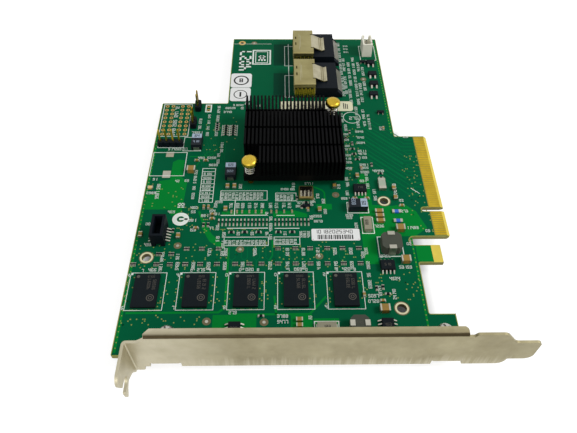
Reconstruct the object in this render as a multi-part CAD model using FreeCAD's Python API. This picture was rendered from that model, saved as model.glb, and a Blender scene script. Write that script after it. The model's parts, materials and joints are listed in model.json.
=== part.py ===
import FreeCAD, Part
import math
import os

# A full-height RAID controller card for a PCI Express x8 slot, in millimetres.
#
# Frame: the origin is the card-edge datum, the middle of the key notch on the contact
# edge, level with the component face.  +X points out of the contact edge, towards the
# system board.  +Y points from the slot bracket to the rear end of the card.  +Z points
# away from the component face.

Vector = FreeCAD.Vector
X_AXIS = Vector(1, 0, 0)
Y_AXIS = Vector(0, 1, 0)
Z_AXIS = Vector(0, 0, 1)


# ---------------------------------------------------------------- driving dimensions

# Circuit board: outline as the x8 card-edge standard sets it, and this card's own steps.
BOARD_THICKNESS = 1.57
BOARD_HEIGHT = 111.15           # contact edge to the top edge
BOARD_FRONT = 57.15             # key notch to the edge beside the bracket
BOARD_LENGTH = 167.65
BOARD_TOP = -BOARD_HEIGHT
BOARD_NEAR = -BOARD_FRONT
BOARD_REAR = BOARD_LENGTH - BOARD_FRONT
BOARD_SHOULDER = 12.95          # contact edge up to the edge behind the tongue
REAR_STEP = 28.3                # how far the top edge steps in at the rear
REAR_STEP_START = 60.95
REAR_TOP = BOARD_TOP + REAR_STEP

# Corners and edges that the parts are placed from, as (x, y).
DATUM = (0.0, 0.0)
TOP_EDGE = (BOARD_TOP, 0.0)
TOP_NEAR_CORNER = (BOARD_TOP, BOARD_NEAR)
NEAR_EDGE = (0.0, BOARD_NEAR)
REAR_EDGE = (0.0, BOARD_REAR)
REAR_TOP_CORNER = (REAR_TOP, BOARD_REAR)
KEY_WIDTH = 1.9
KEY_DEPTH = 8.25
TONGUE_LONG = 38.65
TONGUE_SHORT = 11.65
TONGUE_CORNER = 1.3
BEVEL_LENGTH = 1.1
BEVEL_DEPTH = 0.4
HOOK_INSET = 4.5                # contact edge to the end of the hook and of the front tab
HOOK_SLOT = 3.8                 # gap between tongue and hook
HOOK_SLOT_DEPTH = 14.9
HOOK_WIDTH = 7.4
FRONT_TAB_WIDTH = 13.55
CORNER_RADIUS = 0.5

# Gold contacts on both faces of the tongue.
CONTACT_PITCH = 1.0
CONTACT_WIDTH = 0.7
CONTACT_LENGTH = 4.05
CONTACT_THICKNESS = 0.06
CONTACT_FROM_KEY = 1.5

# Holes in the board.
TOOLING_HOLE_RADIUS = 1.6
TOOLING_HOLE_OFFSETS = [(TOP_EDGE, (5.35, -21.2)), (DATUM, (-21.6, 4.0)),
                        (NEAR_EDGE, (-21.4, 15.55))]

# Slot bracket: one folded sheet.
BRACKET_SHEET = 0.86
BRACKET_BEND = 0.4              # inside radius of each fold
BRACKET_TO_BOARD = 1.9          # board edge to the outer face
BRACKET_WIDTH = 18.42
BRACKET_TOP_INSET = 6.2         # card's top edge to the ear's outer face
BRACKET_TIP = 15.07             # contact edge to the tail's end, 120.02 long in all
BRACKET_UNDER = 0.87            # how far the plate hangs below its mounting tabs
EAR_DEPTH = 11.43
EAR_TOP_DROP = 3.2
EAR_BOTTOM_DROP = 2.3
EAR_ROOT = 3.7                  # length of plate that shares the ear's offset
EAR_SLOT = 3.8
EAR_SLOT_RISE = 7.2             # ear's lower corner to the slot
EAR_SLOT_REACH = 6.2            # bracket's face to the slot's closed end
EAR_FINGER = 3.2                # width of the ear's squared tip above the slot
EAR_FINGER_SLOPE = 1.1          # how far the tip leans back beside the slot
EAR_STUB = 4.2                  # width of the short finger below the slot
EAR_STUB_TAPER = 1.9
EAR_WAIST_REACH = 2.6           # bracket's face to the hollow curve under the stub
EAR_WAIST_RISE = 3.9
LIP_DEPTH = 2.85
LIP_START = 6.5                 # from the ear's outer face to the lip
LIP_TO_TAIL = 10.8              # lip's end to the tail's shoulders
LIP_END_RISE = 1.6              # slope of the plate's edge past the lip
TAIL_LENGTH = 11.42             # shoulders to tip
TAIL_SHOULDER = 3.8
TAIL_WIDTH = 10.19
TAIL_RISE = 3.2
MOUNT_TAB_WIDTH = 8.0
MOUNT_TAB_RELIEF = 0.7
MOUNT_TAB_REACH = 5.0           # from the screw to the tab's free end
BRACKET_SCREW_OFFSETS = [(TOP_NEAR_CORNER, (16.45, 5.95)), (NEAR_EDGE, (-10.0, 5.95))]
SCREW_END_LENGTH = 0.5          # screw's end below its tab
SCREW_SHANK_RADIUS = 1.45
SCREW_HEAD_RADIUS = 2.8
SCREW_HEAD_HEIGHT = 1.7
SCREW_CLEARANCE = 0.25
STAR_WASHER_RADIUS = 3.3
STAR_WASHER_THICKNESS = 0.5
STAR_WASHER_TEETH = 9

# Heatsink, the controller under it, and its two spring pins.
SINK_SHIFT = (0.575, 3.675)     # from half the board's height and a quarter of its rear part
SINK_WIDTH = 37.7
SINK_DEPTH = 38.6
SINK_UNDERSIDE = 2.65
SINK_BASE = 2.7
SINK_FIN_HEIGHT = 7.0
FIN_COUNT = 26
FIN_THICKNESS = 0.75
FIN_ROWS = 4
FIN_ROW_GAP = 1.1
CLEARED_FINS = 4                # fins left out round each spring pin
CHIP_SIZE = 31.0
CHIP_SUBSTRATE = 1.1
CHIP_STANDOFF = 0.3
CHIP_LID_SIZE = 22.0
THERMAL_PAD_THICKNESS = 0.25
PIN_INSET = 2.45                # sink's edges to a spring pin's axis
PIN_HEAD_RADIUS = 2.85
PIN_HEAD_HEIGHT = 2.3
PIN_SHANK = 1.6
PIN_HOLE_RADIUS = 1.2
PIN_BARB_LENGTH = 1.8
PIN_BARB_WIDTH = 2.7
SPRING_LENGTH = 4.4
SPRING_RADIUS = 1.8
SPRING_WIRE = 0.42
SPRING_SIDES = 12

# Memory chips in one row.
MEMORY_COUNT = 5
MEMORY_FIRST_OFFSET = (7.25, 22.35)
MEMORY_LAST_X = -38.9
MEMORY_SIZE = (8.0, 12.5)
MEMORY_THICKNESS = 0.9
MEMORY_STANDOFF = 0.3

# Two right-angle mini-SAS receptacles, mouths towards the card's top edge.
SAS_MOUTH_X = -53.9
SAS_FROM_REAR = 45.5            # board's rear edge to the near side of the first one
SAS_PITCH = 23.25
SAS_WIDTH = 18.7
SAS_SHELL_DEPTH = 9.3
SAS_SHELL_HEIGHT = 7.3
SAS_SHEET = 0.4
SAS_HOUSING_DEPTH = 9.7
SAS_HOUSING_HEIGHT = 5.05
SAS_CAVITY_DEPTH = 6.2
SAS_CARD_SLOT = 1.3
SAS_TAIL_COUNT = 18
SAS_TAIL_PITCH = 0.85
SAS_TAIL_REACH = 2.7
SAS_END_BLOCK = 2.6
SAS_LEAF_WIDTH = 10.2
SAS_LEAF_REACH = 5.2

# Upright battery header at the rear.
BATTERY_HEADER_OFFSET = (-18.8, -10.9)
BATTERY_HEADER_SIZE = (4.5, 7.9)
BATTERY_HEADER_HEIGHT = 6.6
BATTERY_HEADER_WALL = 0.7
BATTERY_PIN_PITCH = 2.0
BATTERY_PIN = 0.5

# Debug connector near the top edge.
DEBUG_OFFSET = (8.75, -11.7)
DEBUG_SIZE = (4.6, 9.5)
DEBUG_HEIGHT = 6.1
DEBUG_WALL = 0.9
DEBUG_CONTACT_PITCH = 1.27
DEBUG_CONTACT_COUNT = 5

# Pin headers.
HEADER_PITCH = 2.54
HEADER_HEIGHT = 2.5
HEADER_PIN = 0.64
HEADER_PIN_TOP = 8.5
HEADER_PIN_TAIL = 1.3           # below the board
HEADER_CHAMFER = 0.45
SERIAL_HEADER_OFFSET = (6.8, 34.45)
SERIAL_PIN_COUNT = 4
JUMPER_HEADER_OFFSETS = [(15.85, 57.75), (14.85, 46.85)]
JUMPER_PIN_COUNT = 2


# ---------------------------------------------------------------- derived positions

def placed(anchor, offset):
    """The point at an offset from an anchor, both as (x, y)."""
    return (anchor[0] + offset[0], anchor[1] + offset[1])


TOOLING_HOLES = [placed(anchor, offset) for anchor, offset in TOOLING_HOLE_OFFSETS]
BRACKET_SCREWS = [placed(anchor, offset) for anchor, offset in BRACKET_SCREW_OFFSETS]
SINK_CENTRE = placed((BOARD_TOP / 2, BOARD_REAR / 4), SINK_SHIFT)
MEMORY_FIRST = placed(TOP_NEAR_CORNER, MEMORY_FIRST_OFFSET)
SAS_FIRST_Y = BOARD_REAR - SAS_FROM_REAR
BATTERY_HEADER_PLACE = placed(REAR_EDGE, BATTERY_HEADER_OFFSET)
DEBUG_PLACE = placed(TOP_EDGE, DEBUG_OFFSET)
SERIAL_HEADER = placed(TOP_EDGE, SERIAL_HEADER_OFFSET)
JUMPER_HEADERS = [placed(TOP_EDGE, offset) for offset in JUMPER_HEADER_OFFSETS]
SOLDER_FACE = -BOARD_THICKNESS
BRACKET_FACE = BOARD_NEAR - BRACKET_TO_BOARD
BRACKET_BACK = BRACKET_FACE + BRACKET_SHEET
EAR_X = BOARD_TOP + BRACKET_TOP_INSET
TAB_UNDERSIDE = SOLDER_FACE - BRACKET_SHEET
BRACKET_LOW = TAB_UNDERSIDE - BRACKET_UNDER
BRACKET_HIGH = BRACKET_LOW + BRACKET_WIDTH
BEND_OUTER = BRACKET_BEND + BRACKET_SHEET
SINK_TOP_OF_BASE = SINK_UNDERSIDE + SINK_BASE
SINK_LEFT = SINK_CENTRE[0] - SINK_WIDTH / 2
SINK_RIGHT = SINK_LEFT + SINK_WIDTH
SINK_NEAR = SINK_CENTRE[1] - SINK_DEPTH / 2
SINK_FAR = SINK_NEAR + SINK_DEPTH
SINK_SIDE = (SINK_LEFT, 0.0)
PIN_HEAD_TOP = SINK_TOP_OF_BASE + SPRING_LENGTH + PIN_HEAD_HEIGHT
MEMORY_PITCH = (MEMORY_LAST_X - MEMORY_FIRST[0]) / (MEMORY_COUNT - 1)
LIP_END = BRACKET_TIP - TAIL_LENGTH - LIP_TO_TAIL
FIN_PITCH = (SINK_WIDTH - FIN_THICKNESS) / (FIN_COUNT - 1)
FIN_ROW_LENGTH = (SINK_DEPTH - (FIN_ROWS - 1) * FIN_ROW_GAP) / FIN_ROWS
SPRING_PINS = [(SINK_LEFT + PIN_INSET, SINK_NEAR + PIN_INSET),
               (SINK_RIGHT - PIN_INSET, SINK_FAR - PIN_INSET)]
SAS_SHELL_BACK = SAS_MOUTH_X + SAS_SHELL_DEPTH
SAS_HOUSING_BACK = SAS_SHELL_BACK + SAS_HOUSING_DEPTH


# ---------------------------------------------------------------- shape helpers

def box(x0, x1, y0, y1, z0, z1):
    """A box between two opposite corners."""
    return Part.makeBox(x1 - x0, y1 - y0, z1 - z0, Vector(x0, y0, z0))


def block(place, size, z0, z1):
    """A box centred on (x, y) in plan."""
    (x, y), (dx, dy) = place, size
    return box(x - dx / 2, x + dx / 2, y - dy / 2, y + dy / 2, z0, z1)


def outline(points):
    """A closed wire through (x, y, radius) corners, each rounded to its radius."""
    count = len(points)
    corners = []
    for i, (x, y, radius) in enumerate(points):
        here = Vector(x, y, 0)
        before = Vector(*points[i - 1][:2], 0) - here
        after = Vector(*points[(i + 1) % count][:2], 0) - here
        if radius <= 0:
            corners.append((here, None, here))
            continue
        half = before.getAngle(after) / 2
        back = radius / math.tan(half)
        start = here + before.normalize() * back
        end = here + after.normalize() * back
        centre = here + (before + after).normalize() * (radius / math.sin(half))
        middle = centre + (here - centre).normalize() * radius
        corners.append((start, middle, end))
    edges = []
    for i, (start, middle, end) in enumerate(corners):
        if middle is not None:
            edges.append(Part.Arc(start, middle, end).toShape())
        following = corners[(i + 1) % count][0]
        if end.distanceToPoint(following) > 1e-6:
            edges.append(Part.makeLine(end, following))
    return Part.Wire(edges)


def plate(points, z0, z1):
    """An upright prism on a rounded outline."""
    face = Part.Face(outline(points))
    face.translate(Vector(0, 0, z0))
    return face.extrude(Vector(0, 0, z1 - z0))


def side_profile(points, y0, y1):
    """A prism along Y whose section is drawn as (x, z, radius) corners."""
    solid = plate(points, 0, y1 - y0)
    solid.rotate(Vector(0, 0, 0), X_AXIS, 90)
    solid.translate(Vector(0, y1, 0))
    return solid


def end_profile(points, x0, x1):
    """A prism along X whose section is drawn as (y, z, radius) corners."""
    solid = plate(points, 0, x1 - x0)
    solid.rotate(Vector(0, 0, 0), X_AXIS, 90)
    solid.rotate(Vector(0, 0, 0), Z_AXIS, 90)
    solid.translate(Vector(x0, 0, 0))
    return solid


def drum(place, radius, z0, z1):
    """An upright cylinder."""
    return Part.makeCylinder(radius, z1 - z0, Vector(place[0], place[1], z0), Z_AXIS)


def turned(place, points):
    """A solid of revolution about the upright axis through place, from (radius, z) points."""
    wire = Part.makePolygon([Vector(r, 0, z) for r, z in points + points[:1]])
    solid = Part.Face(wire).revolve(Vector(0, 0, 0), Z_AXIS, 360)
    solid.translate(Vector(place[0], place[1], 0))
    return solid


def tapered(place, size, z0, z1, draft):
    """A moulded block whose sides lean in by draft on each side at the top."""
    (x, y), (dx, dy) = place, size

    def ring(shrink, z):
        a, b = dx / 2 - shrink, dy / 2 - shrink
        return [Vector(x - a, y - b, z), Vector(x + a, y - b, z),
                Vector(x + a, y + b, z), Vector(x - a, y + b, z)]

    low, high = ring(0, z0), ring(draft, z1)
    walls = [[low[i - 1], low[i], high[i], high[i - 1]] for i in range(4)]
    faces = [Part.Face(Part.makePolygon(f + f[:1])) for f in [low, high] + walls]
    return Part.makeSolid(Part.makeShell(faces))


def moved(shape, dx=0.0, dy=0.0, dz=0.0):
    copy = shape.copy()
    copy.translate(Vector(dx, dy, dz))
    return copy


def turned_about(shape, place, angle):
    copy = shape.copy()
    copy.rotate(Vector(place[0], place[1], 0), Z_AXIS, angle)
    return copy


def cut_all(shape, tools):
    return shape.cut(Part.makeCompound(tools)) if tools else shape


# ---------------------------------------------------------------- circuit board

def board_outline():
    half_key = KEY_WIDTH / 2
    long_end = half_key + TONGUE_LONG
    short_end = -half_key - TONGUE_SHORT
    hook_top = short_end - HOOK_SLOT
    hook_end = hook_top - HOOK_WIDTH
    tab_top = BOARD_NEAR + FRONT_TAB_WIDTH
    slot_round = HOOK_SLOT / 2 - 0.01
    key_round = half_key - 0.01
    r = CORNER_RADIUS
    return [
        (BOARD_TOP, BOARD_NEAR, r),
        (-HOOK_INSET, BOARD_NEAR, 0),
        (-HOOK_INSET, tab_top, 0),
        (-BOARD_SHOULDER, tab_top, r),
        (-BOARD_SHOULDER, hook_end, r),
        (-HOOK_INSET, hook_end, 0),
        (-HOOK_INSET, hook_top, 0),
        (-HOOK_SLOT_DEPTH, hook_top, slot_round),
        (-HOOK_SLOT_DEPTH, short_end, slot_round),
        (0, short_end, TONGUE_CORNER),
        (0, -half_key, 0),
        (-KEY_DEPTH, -half_key, key_round),
        (-KEY_DEPTH, half_key, key_round),
        (0, half_key, 0),
        (0, long_end, TONGUE_CORNER),
        (-BOARD_SHOULDER, long_end, r),
        (-BOARD_SHOULDER, BOARD_REAR, r),
        (BOARD_TOP + REAR_STEP, BOARD_REAR, r),
        (BOARD_TOP + REAR_STEP, REAR_STEP_START, r),
        (BOARD_TOP, REAR_STEP_START, r),
    ]


def bevel_cutters():
    """Wedges that thin the contact edge towards its rim on both faces."""
    low = -KEY_WIDTH / 2 - TONGUE_SHORT - 1
    high = KEY_WIDTH / 2 + TONGUE_LONG + 1
    upper = [(-BEVEL_LENGTH, 0, 0), (1, 0, 0), (1, -BEVEL_DEPTH, 0), (0, -BEVEL_DEPTH, 0)]
    lower = [(x, SOLDER_FACE - z, 0) for x, z, _ in reversed(upper)]
    return [side_profile(upper, low, high), side_profile(lower, low, high)]


def header_offsets(count):
    """Distances of a header's pins from its middle."""
    return [(i - (count - 1) / 2) * HEADER_PITCH for i in range(count)]


def serial_pins():
    x, y = SERIAL_HEADER
    return [(x + o, y) for o in header_offsets(SERIAL_PIN_COUNT)]


def jumper_pins(header):
    x, y = header
    return [(x, y + o) for o in header_offsets(JUMPER_PIN_COUNT)]


def battery_pin_places():
    x, y = BATTERY_HEADER_PLACE
    return [(x, y + i * BATTERY_PIN_PITCH) for i in (-1, 0, 1)]


def all_header_pins():
    pins = serial_pins()
    for header in JUMPER_HEADERS:
        pins += jumper_pins(header)
    return pins


def make_board():
    board = plate(board_outline(), SOLDER_FACE, 0)
    holes = [(p, TOOLING_HOLE_RADIUS) for p in TOOLING_HOLES]
    holes += [(p, SCREW_SHANK_RADIUS + SCREW_CLEARANCE) for p in BRACKET_SCREWS]
    holes += [(p, PIN_HOLE_RADIUS) for p in SPRING_PINS]
    drills = [drum(p, r, SOLDER_FACE - 1, 1) for p, r in holes]
    slots = [(p, HEADER_PIN) for p in all_header_pins()]
    slots += [(p, BATTERY_PIN) for p in battery_pin_places()]
    punches = [block(p, (w, w), SOLDER_FACE - 1, 1) for p, w in slots]
    return cut_all(board, bevel_cutters() + drills + punches)


def make_contacts(z0):
    """The row of gold contacts on one face of the tongue, bottom face at z0."""
    inner = -BEVEL_LENGTH - CONTACT_LENGTH
    long_count = int((TONGUE_LONG - CONTACT_FROM_KEY + KEY_WIDTH / 2) // CONTACT_PITCH)
    short_count = int((TONGUE_SHORT - CONTACT_FROM_KEY + KEY_WIDTH / 2) // CONTACT_PITCH)
    middles = [CONTACT_FROM_KEY + i * CONTACT_PITCH for i in range(long_count)]
    middles += [-CONTACT_FROM_KEY - i * CONTACT_PITCH for i in range(short_count)]
    return Part.makeCompound([
        box(inner, -BEVEL_LENGTH, y - CONTACT_WIDTH / 2, y + CONTACT_WIDTH / 2,
            z0, z0 + CONTACT_THICKNESS) for y in middles])


# ---------------------------------------------------------------- slot bracket

def bracket_plate():
    """The flat of the bracket, drawn in X and Z, with its ear root, relief cuts and tail."""
    x0 = EAR_X + BEND_OUTER
    tip = BRACKET_TIP
    tail_root = tip - TAIL_LENGTH
    neck = tail_root + TAIL_SHOULDER
    lip_level = BRACKET_HIGH - BEND_OUTER
    ear_high = BRACKET_HIGH - EAR_TOP_DROP
    ear_low = BRACKET_LOW - EAR_BOTTOM_DROP
    tail_low = BRACKET_LOW + TAIL_RISE
    tail_high = tail_low + TAIL_WIDTH
    tab_level = TAB_UNDERSIDE + BEND_OUTER
    half = MOUNT_TAB_WIDTH / 2 + MOUNT_TAB_RELIEF
    points = [(x0, ear_low, 0), (EAR_X + EAR_ROOT, ear_low, 0.8),
              (EAR_X + EAR_ROOT, BRACKET_LOW, 0)]
    for x, _ in BRACKET_SCREWS:
        points += [(x - half, BRACKET_LOW, 0), (x - half, tab_level, 0),
                   (x + half, tab_level, 0), (x + half, BRACKET_LOW, 0)]
    points += [
        (neck, BRACKET_LOW, 2.8),
        (neck + 0.3, tail_low, 0.4),
        (tip, tail_low, 2.6),
        (tip, tail_high, 1.4),
        (neck, tail_high, 2.0),
        (tail_root, BRACKET_HIGH, 2.5),
        (LIP_END + 1.5 * LIP_END_RISE, BRACKET_HIGH, 0.6),
        (LIP_END + LIP_END_RISE, lip_level, 0.4),
        (EAR_X + LIP_START, lip_level, 0.8),
        (EAR_X + EAR_ROOT + 0.4, ear_high, 1.0),
        (x0, ear_high, 0),
    ]
    return side_profile(points, BRACKET_FACE, BRACKET_BACK)


def fold(inner, outer, angle_axis, place, length):
    """A quarter ring along X, Y or Z that joins two flats of a folded sheet."""
    ring = Part.makeCylinder(outer, length, place, angle_axis)
    return ring.cut(Part.makeCylinder(inner, length, place, angle_axis))


def bracket_lip():
    """The stiffening lip folded back along the upper edge."""
    x0 = EAR_X + LIP_START
    x1 = LIP_END
    y_bend = BRACKET_FACE + BEND_OUTER
    z_bend = BRACKET_HIGH - BEND_OUTER
    ring = fold(BRACKET_BEND, BEND_OUTER, X_AXIS, Vector(x0, y_bend, z_bend), x1 - x0)
    corner = ring.common(box(x0, x1, BRACKET_FACE, y_bend, z_bend, BRACKET_HIGH))
    far = BRACKET_FACE + LIP_DEPTH
    flange = plate([(x0, y_bend, 0), (x1, y_bend, 0), (x1, far, 1.2), (x0 + 1.4, far, 0.4)],
                   BRACKET_HIGH - BRACKET_SHEET, BRACKET_HIGH)
    return [corner, flange]


def bracket_tab(screw):
    """A mounting tab folded under the board, with its screw hole."""
    x, y = screw
    x0, x1 = x - MOUNT_TAB_WIDTH / 2, x + MOUNT_TAB_WIDTH / 2
    y_bend = BRACKET_FACE + BEND_OUTER
    z_bend = TAB_UNDERSIDE + BEND_OUTER
    ring = fold(BRACKET_BEND, BEND_OUTER, X_AXIS, Vector(x0, y_bend, z_bend), x1 - x0)
    corner = ring.common(box(x0, x1, BRACKET_FACE, y_bend, TAB_UNDERSIDE, z_bend))
    far = y + MOUNT_TAB_REACH
    flange = plate([(x0, y_bend, 0), (x1, y_bend, 0), (x1, far, 0), (x0, far, 0)],
                   TAB_UNDERSIDE, SOLDER_FACE)
    hole = drum(screw, SCREW_SHANK_RADIUS, TAB_UNDERSIDE - 1, SOLDER_FACE + 1)
    return [corner, flange.cut(hole)]


def bracket_ear():
    """The ear folded outward, cut back by a wide curve and slotted for the case screw."""
    low = BRACKET_LOW - EAR_BOTTOM_DROP
    high = BRACKET_HIGH - EAR_TOP_DROP
    x_bend = EAR_X + BEND_OUTER
    y_bend = BRACKET_BACK - BEND_OUTER
    ring = fold(BRACKET_BEND, BEND_OUTER, Z_AXIS, Vector(x_bend, y_bend, low), high - low)
    corner = ring.common(box(EAR_X, x_bend, y_bend, BRACKET_BACK, low, high))
    end = BRACKET_FACE - EAR_DEPTH
    lean = end + EAR_FINGER_SLOPE
    slot_low = low + EAR_SLOT_RISE
    slot_high = slot_low + EAR_SLOT
    slot_end = BRACKET_FACE - EAR_SLOT_REACH
    stub_low = slot_low - EAR_STUB
    stub_root = slot_low - EAR_STUB_TAPER
    waist = BRACKET_FACE - EAR_WAIST_REACH
    points = [
        (y_bend, low, 0),
        (y_bend, high, 0),
        (end, high, 2.6),
        (end, high - EAR_FINGER, 0.5),
        (lean, slot_high, 0.5),
        (slot_end, slot_high, EAR_SLOT / 2 - 0.01),
        (slot_end, slot_low, EAR_SLOT / 2 - 0.01),
        (lean, slot_low, 0.4),
        (lean + 0.3, stub_low, 0.5),
        (lean + EAR_STUB_TAPER + 0.4, stub_root, 1.0),
        (lean + EAR_STUB, slot_low - 0.8, 0.8),
        (waist, low + EAR_WAIST_RISE, 4.0),
        (y_bend - 0.3, low, 0.3),
    ]
    return [corner, end_profile(points, EAR_X, EAR_X + BRACKET_SHEET)]


def make_bracket():
    pieces = [bracket_plate()] + bracket_lip() + bracket_ear()
    for screw in BRACKET_SCREWS:
        pieces += bracket_tab(screw)
    return pieces[0].multiFuse(pieces[1:]).removeSplitter()


def make_bracket_screw(screw):
    """A flat-topped screw seated on its star washer and threaded into the bracket's tab."""
    seat = STAR_WASHER_THICKNESS
    top = seat + SCREW_HEAD_HEIGHT
    r = SCREW_HEAD_RADIUS
    tip = TAB_UNDERSIDE - SCREW_END_LENGTH
    return turned(screw, [
        (0, tip), (SCREW_SHANK_RADIUS, tip), (SCREW_SHANK_RADIUS, seat), (r, seat),
        (r, top), (0, top)])


def make_star_washer(screw):
    """A lock washer with teeth round its rim."""
    teeth = STAR_WASHER_TEETH
    points = []
    for i in range(2 * teeth):
        angle = math.pi * i / teeth
        r = STAR_WASHER_RADIUS if i % 2 == 0 else STAR_WASHER_RADIUS - 0.5
        points.append((screw[0] + r * math.cos(angle), screw[1] + r * math.sin(angle), 0))
    washer = plate(points, 0, STAR_WASHER_THICKNESS)
    return washer.cut(drum(screw, SCREW_SHANK_RADIUS + 0.1, -1, 1 + STAR_WASHER_THICKNESS))


# ---------------------------------------------------------------- heatsink and controller

def fin_is_cleared(column, row):
    near_pin = row == 0 and column < CLEARED_FINS
    far_pin = row == FIN_ROWS - 1 and column >= FIN_COUNT - CLEARED_FINS
    return near_pin or far_pin


def make_heatsink():
    """A flat base with rows of thin fins, left bare round the two spring pins."""
    base = box(SINK_LEFT, SINK_LEFT + SINK_WIDTH, SINK_NEAR, SINK_NEAR + SINK_DEPTH,
               SINK_UNDERSIDE, SINK_TOP_OF_BASE)
    base = cut_all(base, [drum(p, PIN_HOLE_RADIUS, 0, 2 * SINK_TOP_OF_BASE)
                          for p in SPRING_PINS])
    fins = []
    for column in range(FIN_COUNT):
        x = SINK_LEFT + column * FIN_PITCH
        for row in range(FIN_ROWS):
            if fin_is_cleared(column, row):
                continue
            y = SINK_NEAR + row * (FIN_ROW_LENGTH + FIN_ROW_GAP)
            fins.append(box(x, x + FIN_THICKNESS, y, y + FIN_ROW_LENGTH,
                            SINK_TOP_OF_BASE, SINK_TOP_OF_BASE + SINK_FIN_HEIGHT))
    return base.multiFuse(fins).removeSplitter()


def make_spring_pin(place):
    """A pin with a bevelled round head, a square shank and a barb under the board."""
    seat = SINK_TOP_OF_BASE + SPRING_LENGTH
    top = PIN_HEAD_TOP
    r = PIN_HEAD_RADIUS
    head = turned(place, [(0, seat), (r, seat), (r, seat + 1.2), (r * 0.62, top), (0, top)])
    shank = block(place, (PIN_SHANK, PIN_SHANK), SOLDER_FACE, seat)
    barb = (PIN_BARB_WIDTH, PIN_BARB_WIDTH)
    barb = tapered(place, barb, SOLDER_FACE, SOLDER_FACE - PIN_BARB_LENGTH, 0.5)
    return head.multiFuse([shank, barb])


def ring_of_sides(place, radius):
    """Corners of a regular polygon round a place, for plate()."""
    turn = 2 * math.pi / SPRING_SIDES
    return [(place[0] + radius * math.cos(i * turn), place[1] + radius * math.sin(i * turn), 0)
            for i in range(SPRING_SIDES)]


def make_spring(place):
    """The closed-up coil spring between the heatsink's base and a pin's head."""
    low = SINK_TOP_OF_BASE
    outer = plate(ring_of_sides(place, SPRING_RADIUS + SPRING_WIRE / 2), low,
                  low + SPRING_LENGTH)
    inner = plate(ring_of_sides(place, SPRING_RADIUS - SPRING_WIRE / 2), 0, 2 * PIN_HEAD_TOP)
    return outer.cut(inner)


def make_controller_parts():
    """The controller's substrate, its metal lid and the thermal pad under the heatsink."""
    low = CHIP_STANDOFF
    lid_low = low + CHIP_SUBSTRATE
    lid_high = SINK_UNDERSIDE - THERMAL_PAD_THICKNESS
    size = (CHIP_SIZE, CHIP_SIZE)
    lid = (CHIP_LID_SIZE, CHIP_LID_SIZE)
    return {
        "controller_substrate": block(SINK_CENTRE, size, low, lid_low),
        "controller_lid": block(SINK_CENTRE, lid, lid_low, lid_high),
        "thermal_pad": block(SINK_CENTRE, lid, lid_high, SINK_UNDERSIDE),
    }


def make_memory_chips():
    chips = {}
    for i in range(MEMORY_COUNT):
        place = placed(MEMORY_FIRST, (i * MEMORY_PITCH, 0))
        chips[f"memory_chip_{i + 1}"] = block(
            place, MEMORY_SIZE, MEMORY_STANDOFF, MEMORY_STANDOFF + MEMORY_THICKNESS)
    return chips


# ---------------------------------------------------------------- mini-SAS receptacles

def make_sas_shell(y0):
    """A folded metal cage: open mouth, latch slots, pressed side louvres and a rear leaf."""
    y1 = y0 + SAS_WIDTH
    t = SAS_SHEET
    mouth, back, high = SAS_MOUTH_X, SAS_SHELL_BACK, SAS_SHELL_HEIGHT
    section = [(y0, 0, 0), (y0, high, 0.7), (y1, high, 0.7), (y1, 0, 0),
               (y1 - t, 0, 0), (y1 - t, high - t, 0), (y0 + t, high - t, 0),
               (y0 + t, 0, 0)]
    cage = end_profile(section, mouth, back)
    floor = box(mouth, mouth + 4.0, y0 + t, y1 - t, 0, t)
    middle = (y0 + y1) / 2
    leaf_y0 = middle - SAS_LEAF_WIDTH / 2
    leaf_y1 = middle + SAS_LEAF_WIDTH / 2
    drop = high - SAS_HOUSING_HEIGHT - t
    dip = back + SAS_LEAF_REACH - 1.3
    tip = back + SAS_LEAF_REACH
    leaf = side_profile([
        (back - 1.2, high, 0), (back, high, 0.8), (dip, high - drop, 0.5),
        (tip, high - drop + 0.45, 0), (tip, high - drop + 0.45 - t, 0),
        (dip, high - drop - t, 0.9), (back - 0.1, high - t, 0.4),
        (back - 1.2, high - t, 0)], leaf_y0, leaf_y1)
    reliefs = [box(back - 1.2, back + 1, y, y + 0.5, high - 2, high + 1)
               for y in (leaf_y0 - 0.5, leaf_y1)]
    latch_slots = [box(mouth + 0.9, mouth + 1.5, middle + dy, middle + dy + 2.0, high - 1,
                       high + 1) for dy in (-3.2, 1.6)]
    louvres = []
    for side in (y0 - 1, y1 - 1):
        louvres.append(box(mouth + 1.6, back - 1.4, side, side + 2, 4.9, 5.4))
    shell = cut_all(cage, reliefs + latch_slots + louvres)
    return shell.multiFuse([floor, leaf]).removeSplitter()


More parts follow.
